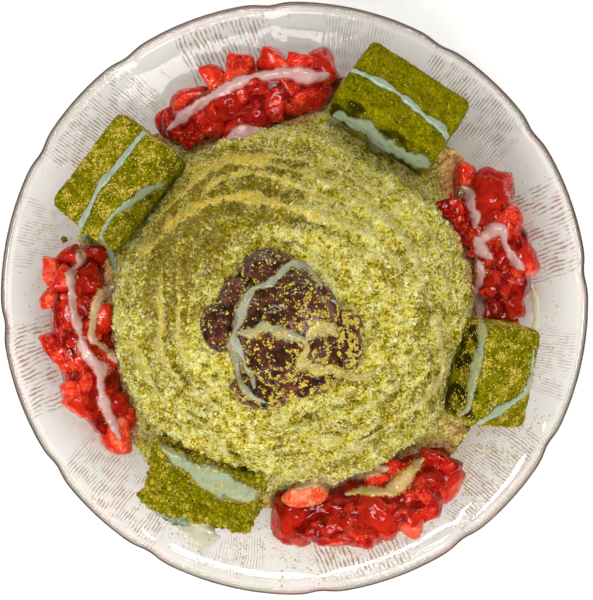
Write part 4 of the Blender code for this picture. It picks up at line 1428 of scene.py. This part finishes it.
def spread_milk():
    """How far the milk spreads, as a grid of shares: 1 along a strand's middle, less than MILK_EDGE outside it.

    With it come the strands' mean height and soy powder, and how much of what is under them is berries, leaf powder
    or beans. Strands that meet run together.
    """
    steps = round(2 * MILK_REACH / MILK_STEP) + 1
    side = np.linspace(-MILK_REACH, MILK_REACH, steps)
    x, y = np.meshgrid(side, side, indexing="ij")
    total = np.zeros((steps, steps))
    sums = {key: np.zeros((steps, steps)) for key in ("height", "soy", "blush", "leaf", "dark", "faint")}
    for seed, (under, widths, height, soy, route) in enumerate(STRANDS):
        line = curve_through(route, STRAND_STEP)
        length = STRAND_STEP * (len(line) - 1)
        cover = np.zeros((steps, steps))
        for index, spot in enumerate(line):
            share = index / (len(line) - 1)
            uneven = 0.95 + 0.8 * noise.noise(spot * 130 + Vector((seed, 0, 0))) + 0.6 * noise.noise(spot * 420)
            wide = 1.25 * through(*widths, 2 * share - 1) * MM * max(uneven, 0.45)
            half = wide / 2 * math.sqrt(min(1, (min(share, 1 - share) * length + 0.6 * MM) / wide))
            reach = 2.3 * half
            i, j = [np.searchsorted(side, (value - reach, value + reach)) for value in spot.xy]
            window = np.s_[i[0] : i[1], j[0] : j[1]]
            away = (x[window] - spot.x) ** 2 + (y[window] - spot.y) ** 2
            cover[window] = np.maximum(cover[window], np.exp(-1.1 * away / half**2))
        cover = cover**3
        total += cover
        for key, value in zip(sums, (height * MM, soy, *UNDER_MILK[under])):
            sums[key] += cover * value
    mean = {key: value / np.maximum(total, 1e-9) for key, value in sums.items()}
    return x, y, total ** (1 / 3), mean


def blurred(grid, known, passes):
    """Each known value averaged with its known neighbours, this many times."""
    for _ in range(passes):
        value, weight = np.pad(grid * known, 1), np.pad(known * 1.0, 1)
        for axis in (0, 1):
            value = np.roll(value, 1, axis) + 2 * value + np.roll(value, -1, axis)
            weight = np.roll(weight, 1, axis) + 2 * weight + np.roll(weight, -1, axis)
        grid = (value / np.maximum(weight, 1e-9))[1:-1, 1:-1]
    return grid


def sheet_between(top, bottom, cells):
    """A closed sheet over the marked cells of a grid, as its points, its faces and the grid place of each point."""
    for _ in range(3):
        one, two = cells[:-1, :-1] & cells[1:, 1:], cells[1:, :-1] & cells[:-1, 1:]
        only_one = one & ~cells[1:, :-1] & ~cells[:-1, 1:]
        only_two = two & ~cells[:-1, :-1] & ~cells[1:, 1:]
        cells[1:, :-1] |= only_one
        cells[:-1, :-1] |= only_two
    corner = np.zeros((cells.shape[0] + 1, cells.shape[1] + 1), bool)
    for i in (0, 1):
        for j in (0, 1):
            corner[i : i + cells.shape[0], j : j + cells.shape[1]] |= cells
    number = np.full(corner.shape, -1)
    number[corner] = np.arange(corner.sum())
    count = int(corner.sum())
    padded = np.pad(cells, 1)
    i, j = np.nonzero(cells)
    a, b, c, d = number[i, j], number[i + 1, j], number[i + 1, j + 1], number[i, j + 1]
    faces = [np.stack([a, b, c, d], axis=1), np.stack([a, d, c, b], axis=1) + count]
    for first, second, open_side in ((a, b, (1, 0)), (b, c, (2, 1)), (c, d, (1, 2)), (d, a, (0, 1))):
        edge = ~padded[i + open_side[0], j + open_side[1]]
        first, second = first[edge], second[edge]
        faces.append(np.stack([first, first + count, second + count, second], axis=1))
    points = np.concatenate([top[corner], bottom[corner]])
    return points, np.concatenate(faces), corner


def build_milk(material, surfaces):
    x, y, cover, mean = spread_milk()
    near = cover > 0.04
    ground = np.zeros(cover.shape)
    for i, j in zip(*np.nonzero(near)):
        hit = surfaces.ray_cast(Vector((x[i, j], y[i, j], 1)), (0, 0, -1))[0]
        ground[i, j] = hit.z if hit else inner_height(math.hypot(x[i, j], y[i, j]))
    level = blurred(ground, near, 7)
    deep = (cover - MILK_EDGE) / (1 - MILK_EDGE)
    sag = smooth((deep + 0.02) / 0.45)
    rise = np.where(deep > 0, np.abs(deep) ** 0.7, 2.2 * deep)
    top = ground + (level - ground) * sag + mean["height"] * rise
    top = np.where(deep > 0, np.maximum(top, ground + 0.35 * mean["height"] * clamp(3 * deep)), top)
    bottom = np.minimum(ground, level) - MILK_SUNK
    inside = deep > -0.28
    cells = inside[:-1, :-1] & inside[1:, :-1] & inside[:-1, 1:] & inside[1:, 1:]
    points, faces, corner = sheet_between(np.dstack([x, y, top]), np.dstack([x, y, bottom]), cells)
    values = {key: np.tile(mean[key][corner], 2) for key in ("blush", "leaf", "dark", "soy", "faint")}
    thick = clamp(deep[corner])
    mesh = mesh_from("condensed_milk", points, faces, thick=np.append(thick, thick), **values)
    return keep(object_from("condensed_milk", mesh, material), "condensed_milk")


def make_milk():
    """Condensed milk: cream where it's thick, and tinted by what lies under it where it's thin."""
    material, tree, shader = principled(
        "condensed_milk", Roughness=0.3, Coat_Weight=0.9, Coat_Roughness=0.04, Specular_IOR_Level=0.2,
        Subsurface_Weight=0.2, Subsurface_Scale=1.0
    )
    shader.inputs["Subsurface Radius"].default_value = (0.9 * MM, 0.8 * MM, 0.6 * MM)
    thick = attribute(tree, "thick")
    uneven = calc(tree, "MULTIPLY", calc(tree, "SUBTRACT", grain(tree, 4 * MM, 2.0)["Value"], 0.5), 0.5)
    body = calc(tree, "ADD", remap(tree, thick, 0.0, 0.85), uneven)
    colour = mix(tree, body, shade(190, 184, 128), shade(216, 212, 178))
    leaf = mix(tree, body, shade(84, 96, 50), shade(140, 154, 128))
    blush = mix(tree, body, shade(178, 76, 66), shade(184, 148, 144))
    dark = mix(tree, body, shade(88, 78, 54), shade(142, 145, 126))
    for key, tint in (("leaf", leaf), ("blush", blush), ("dark", dark)):
        colour = mix(tree, attribute(tree, key), colour, tint)
    colour = soy_paint(tree, colour, calc(tree, "MULTIPLY", attribute(tree, "soy"), 0.75))
    tree.links.new(colour, shader.inputs["Base Color"])
    thin = calc(tree, "SUBTRACT", 1.0, calc(tree, "MULTIPLY", attribute(tree, "faint"), 0.6))
    cover = calc(tree, "MULTIPLY", remap(tree, thick, 0.0, 0.5, 0.05, 0.97), thin)
    tree.links.new(cover, shader.inputs["Alpha"])
    roughen(tree, shader, grain(tree, 3.5 * MM, 2.0)["Height"], 1.6 * MM, 0.5)
    return material


# ---------------------------------------------------------------- powders


def patchy(points, size, cover, seed):
    """1 in patches of about that size, over about that share of the surface."""
    value = np.array([noise.fractal(Vector(point) / size + Vector((seed, seed, 0)), 1.0, 2.0, 2) for point in points])
    return smooth((value + (cover - 0.5) * 1.2) / 0.25)


def soy_on_cake(cake, cover):
    points = points_of(cake.data)
    share = 0.15 + 0.85 * patchy(points, 4 * MM, 0.5, 3)
    add_mask(cake, "soy", cover * share * (1 - 0.4 * values_of(cake, "wet")) * (1 - values_of(cake, "under")))


def soy_on_beans(obj):
    points = points_of(obj.data)
    x, y = (points[:, 0] - SCOOP.x) / (24 * MM), (points[:, 1] - SCOOP.y) / (26 * MM)
    lean = 0.6 + 0.35 * x - 0.3 * y
    share = clamp(lean, 0.3, 1) * (0.06 + 0.94 * patchy(points, 2.6 * MM, 0.5, 8))
    add_mask(obj, "soy", share * (points[:, 2] > 88 * MM))


def soy_on_bowl(bowl):
    points = points_of(bowl.data)
    angle = np.degrees(np.arctan2(points[:, 1], points[:, 0]))
    radius = np.hypot(points[:, 0], points[:, 1])
    normals = np.empty(len(points) * 3, np.float32)
    bowl.data.vertex_normals.foreach_get("vector", normals)
    inside = normals.reshape(-1, 3)[:, 2] > 0.3
    spread = np.exp(-((turn_between(angle, -58) / 42) ** 2)) + 0.12 * np.exp(-((turn_between(angle, 200) / 60) ** 2))
    reach = smooth((radius - 88 * MM) / (4 * MM)) * smooth((118 * MM - radius) / (12 * MM))
    add_mask(bowl, "soy", inside * reach * (0.03 + spread) * (0.15 + 0.85 * patchy(points, 5 * MM, 0.5, 5)))


def soy_on_ice(core):
    points = points_of(core.data)
    band, top = values_of(core, "band"), values_of(core, "top")
    lying = smooth((band - 0.25) / 0.35) * (0.25 + 0.75 * patchy(points, 3.5 * MM, 0.5, 4))
    lying = lying * (0.4 + 0.6 * values_of(core, "gilt"))
    add_mask(core, "soy", top * (lying + 0.03 + 0.07 * patchy(points, 9 * MM, 0.4, 6)))


def leaf_on_ice(core):
    points = points_of(core.data)
    patches = 0.2 + 0.8 * patchy(points, 6 * MM, 0.5, 12)
    # More leaf powder grains lie where dusk is high: partly real powder, partly painted shade.
    return values_of(core, "top") * patches * clamp(0.45 + values_of(core, "dusk"), 0.05, 2) * (1 - 0.9 * values_of(core, "band"))


def soy_on_fruit(diced, share):
    pale = smooth((values_of(diced, "pale") - 0.82) / 0.05)
    add_mask(diced, "soy", share * (0.2 + patchy(points_of(diced.data), 6 * MM, 0.4, 9)) * (1 + 30 * pale))


def make_grains(name, dark, light, roughness=0.95):
    """Loose grains, each of its own tone."""
    material, tree, shader = principled(name, Roughness=roughness, Specular_IOR_Level=0.06)
    tone = calc(tree, "ADD", calc(tree, "MULTIPLY", attribute(tree, "speck"), 0.7), calc(tree, "MULTIPLY", grain(tree, 0.8 * MM)["Value"], 0.3))
    tree.links.new(mix(tree, tone, dark, light), shader.inputs["Base Color"])
    return material


def strew_on_all(name, jobs, tree, shapes, material, slot):
    """Strews each job's count of grains over its source by the mask, and joins them as one piece."""
    made = []
    for seed, (source, count, smallest, largest, mask) in enumerate(jobs):
        made.append(
            strew(
                f"{name}_{seed}", source, tree, shapes, material, count, mask,
                smallest * MM, largest * MM, 1.2, 0.05, SEED + 20 + seed,
            )
        )
    return keep(joined(name, made), slot)


def lump_mesh(index, level, rough):
    """A crumb about one metre across: a ball pushed in and out."""
    directions, faces = ball(level)
    shift = Vector((index * 7.0, 0, 0))
    reach = [1 + rough * noise.noise(Vector(one) * 2.1 + shift) + 0.4 * rough * noise.noise(Vector(one) * 5 + shift) for one in directions]
    return mesh_from(f"lump_{index}", directions * np.array(reach)[:, None] * 0.5, faces, smooth_shaded=level > 2)


# Clumps of leaf powder that lie by themselves: millimetres right and up from the middle, and size
CLUMPS = (
    (-32.4, -91.0, 5.0), (-29.6, -92.5, 2.6), (-52.0, -88.0, 4.2), (-48.5, -90.5, 3.0), (-20.5, -86.5, 3.2), (-25.5, -88.2, 2.0),
    (-62.8, -80.0, 2.4), (-38.0, -75.5, 6.5), (-43.5, -72.5, 4.6), (-47.8, -69.5, 4.0), (-33.0, -77.0, 4.4), (-41.0, -80.0, 3.6),
    (-50.6, -75.5, 3.4), (-36.0, -83.5, 3.6), (-28.0, -81.0, 3.2), (-23.0, -83.0, 2.6), (-46.0, -84.5, 3.0), (-94.0, 24.0, 2.2),
)


def build_clumps(surfaces, cakes, tree, material):
    """Clumps of leaf powder: the large ones each in its place, the small ones strewn over the cakes."""
    points, faces, total = [], [], 0
    for index, (x, y, size) in enumerate(CLUMPS):
        lump = lump_mesh(40 + index, 4, 0.7)
        hit = surfaces.ray_cast(Vector((x * MM, y * MM, 1)), (0, 0, -1))[0]
        body = points_of(lump) * np.array([1, 1, 0.75]) * size * MM + np.array(hit)
        points.append(body)
        faces += [[corner + total for corner in face.vertices] for face in lump.polygons]
        total += len(body)
    points = np.concatenate(points)
    nothing = np.zeros(len(points))
    mesh = mesh_from("leaf_clumps", points, faces, wet=nothing, soy=nothing + 0.3, loose=nothing + 1)
    large = object_from("leaf_clumps", mesh, material)
    large.data = run_tree(
        large, make_crumble_tree(), Lump_Size=3 * MM, Lump_Height=0.3 * MM, Crumb_Size=0.9 * MM, Crumb_Height=0.35 * MM, Seed=5
    )
    large.data.materials.clear()
    large.data.materials.append(material)
    keep(large, "green_tea_powder")
    shapes = hidden_shapes("crumbs", [lump_mesh(index, 1, 0.6) for index in range(4)])
    small = make_grains("leaf_crumbs", shade(96, 88, 0), shade(178, 160, 44))
    jobs = [(cakes[3], 420, 1.0, 2.8, "dusty"), (cakes[0], 70, 0.8, 1.6, "dusty"), (cakes[2], 80, 0.8, 1.6, "dusty")]
    strew_on_all("leaf_powder_crumbs", jobs, tree, shapes, small, "green_tea_powder")
    drop_shapes(shapes)
    return large


def build_crumbs(core, tree, material):
    """Rounder crumbs of half melted ice, thickest along the foot of the mound."""
    points = points_of(core.data)
    radius = np.hypot(points[:, 0], points[:, 1])
    foot = smooth((radius - 70 * MM) / (8 * MM))
    add_mask(core, "crumby", values_of(core, "top") * (0.12 + 0.88 * foot) * (1 - values_of(core, "band")))
    shapes = hidden_shapes("ice_lumps", [lump_mesh(10 + index, 1, 0.5) for index in range(4)])
    crumbs = strew("ice_crumbs", core, tree, shapes, material, 4200, "crumby", 0.7 * MM, 2.2 * MM, 1.5, 0.05, SEED + 9)
    drop_shapes(shapes)
    return keep(crumbs, "green_tea_ice")


def build_powders(core, bowl, cakes, heaps, beans, milk, tree):
    for cake, brick in zip(cakes, BRICKS):
        soy_on_cake(cake, brick[-2])
        points = points_of(cake.data)
        open_air = 1 - values_of(cake, "under")
        add_mask(cake, "dusty", open_air * (1 - 0.9 * values_of(cake, "wet")))
    for obj in beans:
        soy_on_beans(obj)
    for heap, share in zip(heaps, (0.35, 0.8, 1.0, 0.4)):
        soy_on_fruit(heap, share)
    soy_on_bowl(bowl)
    soy_on_ice(core)
    fine = hidden_shapes("grains", [shard_mesh(20 + index, 0.9, 0.8, 0.6, 0.0) for index in range(4)])
    soy = make_grains("roasted_soy_powder", shade(158, 134, 44), shade(208, 183, 86))
    leaf = make_grains("green_tea_grains", shade(66, 56, 0), shade(142, 124, 14))
    add_mask(core, "leafy", leaf_on_ice(core))
    strew_on_all("soy_powder_on_ice", [(core, 14500, 0.4, 1.2, "soy")], tree, fine, soy, "roasted_soy_powder")
    strew_on_all("leaf_powder_on_ice", [(core, 15000, 0.4, 1.15, "leafy")], tree, fine, leaf, "green_tea_powder")
    jobs = [(beans[0], 6500, 0.5, 1.9, "soy"), (beans[1], 1100, 0.5, 1.8, "soy"), (milk, 5200, 0.4, 1.3, "soy")]
    strew_on_all("soy_powder_on_scoop", jobs, tree, fine, soy, "roasted_soy_powder")
    jobs = [(cake, count, 0.5, 1.3, "soy") for cake, count in zip(cakes, (3800, 150, 3200, 2600))]
    jobs += [(bowl, 3200, 0.35, 1.3, "soy")]
    jobs += [(heap, count, 0.3, 0.9, "soy") for heap, count in zip(heaps, (60, 160, 620, 70))]
    strew_on_all("soy_powder", jobs, tree, fine, soy, "roasted_soy_powder")
    jobs = [(cake, count, 0.35, 0.95, "dusty") for cake, count in zip(cakes, (3000, 3600, 3000, 4400))]
    strew_on_all("green_powder_grains", jobs, tree, fine, leaf, "green_tea_powder")
    drop_shapes(fine)


# ---------------------------------------------------------------- stage


def build_stage():
    bpy.context.scene.view_settings.view_transform = "Standard"
    bm = bmesh.new()
    bmesh.ops.create_grid(bm, x_segments=1, y_segments=1, size=3)
    mesh = bpy.data.meshes.new("floor")
    bm.to_mesh(mesh)
    bm.free()
    material, _, _ = principled("pale_floor", Roughness=0.7, Base_Color=shade(244, 243, 240))
    floor = object_from("floor", mesh, material)

    world = bpy.data.worlds.new("soft_room")
    bpy.context.scene.world = world
    world.use_nodes = True
    sky = world.node_tree.nodes["Background"]
    sky.inputs["Color"].default_value = (1, 1, 1, 1)
    glossy = wire(world.node_tree, "ShaderNodeLightPath").outputs["Is Glossy Ray"]
    strength = remap(world.node_tree, glossy, 0.0, 1.0, 0.38, 0.1, "LINEAR")
    world.node_tree.links.new(strength, sky.inputs["Strength"])

    lamps = [("window", (0.35, -1.1, 1.3), (0.9, 0.9), 23)]
    lamps += [("fill_left", (-1.2, -0.5, 0.9), (0.8, 0.8), 10.5), ("fill_back", (0.2, 1.3, 0.9), (0.8, 0.8), 7.5)]
    lamps += [(f"bar_{index + 1}", (-0.05, 0.02 + 0.2 * index, 1.15), (0.6, 0.05), 2.1) for index in range(3)]
    for name, at, (across, deep), power in lamps:
        light = bpy.data.lights.new(name, "AREA")
        light.shape = "RECTANGLE"
        light.size, light.size_y = across, deep
        light.energy = power
        lamp = bpy.data.objects.new(name, light)
        bpy.context.scene.collection.objects.link(lamp)
        lamp.location = at
        lamp.visible_glossy = name.startswith("bar")
        if not lamp.visible_glossy:
            lamp.rotation_euler = (Vector((0, 0, 0.05)) - Vector(at)).to_track_quat("-Z", "Y").to_euler()


def build_camera():
    """Straight down, the bowl's rim filling the picture's height."""
    data = bpy.data.cameras.new("camera")
    data.sensor_width = 36
    data.lens = 104.1
    camera = bpy.data.objects.new("camera", data)
    bpy.context.scene.collection.objects.link(camera)
    camera.location = (0.8 * MM, -0.7 * MM, 742 * MM)
    bpy.context.scene.camera = camera


def main():
    build_stage()
    build_camera()
    rng = random.Random(SEED)
    bowl = build_bowl(make_glass())
    crumble, scatter = make_crumble_tree(), make_scatter_tree()
    core = build_ice(make_ice("green_tea_ice", 0.0), crumble)
    lit_tips = make_ice("green_tea_flakes", 0.22)
    build_flakes(core, scatter, lit_tips)
    build_crumbs(core, scatter, lit_tips)
    powdered = make_powdered()
    cakes = [build_brick(brick, powdered, crumble, SEED + index) for index, brick in enumerate(BRICKS)]
    ground = surface_of(bowl, core)
    flesh, pulp, husk = make_flesh(), make_pulp(), make_seed()
    heaps, pulps, seeds = [], [], []
    for name, pieces in HEAPS.items():
        diced, core_of_heap, spots = build_heap(name, pieces, ground, flesh, pulp, rng)
        heaps.append(diced)
        pulps.append(core_of_heap)
        seeds += spots
    build_seeds(seeds, husk, rng)
    build_syrup(surface_of(core, *heaps, *pulps), make_syrup())
    beans = build_scoop(make_beans(), rng)
    milk = build_milk(make_milk(), surface_of(bowl, core, *cakes, *heaps, *pulps, *beans))
    build_powders(core, bowl, cakes, heaps, beans, milk, scatter)
    build_clumps(surface_of(bowl, core, *cakes), cakes, scatter, powdered)

main()
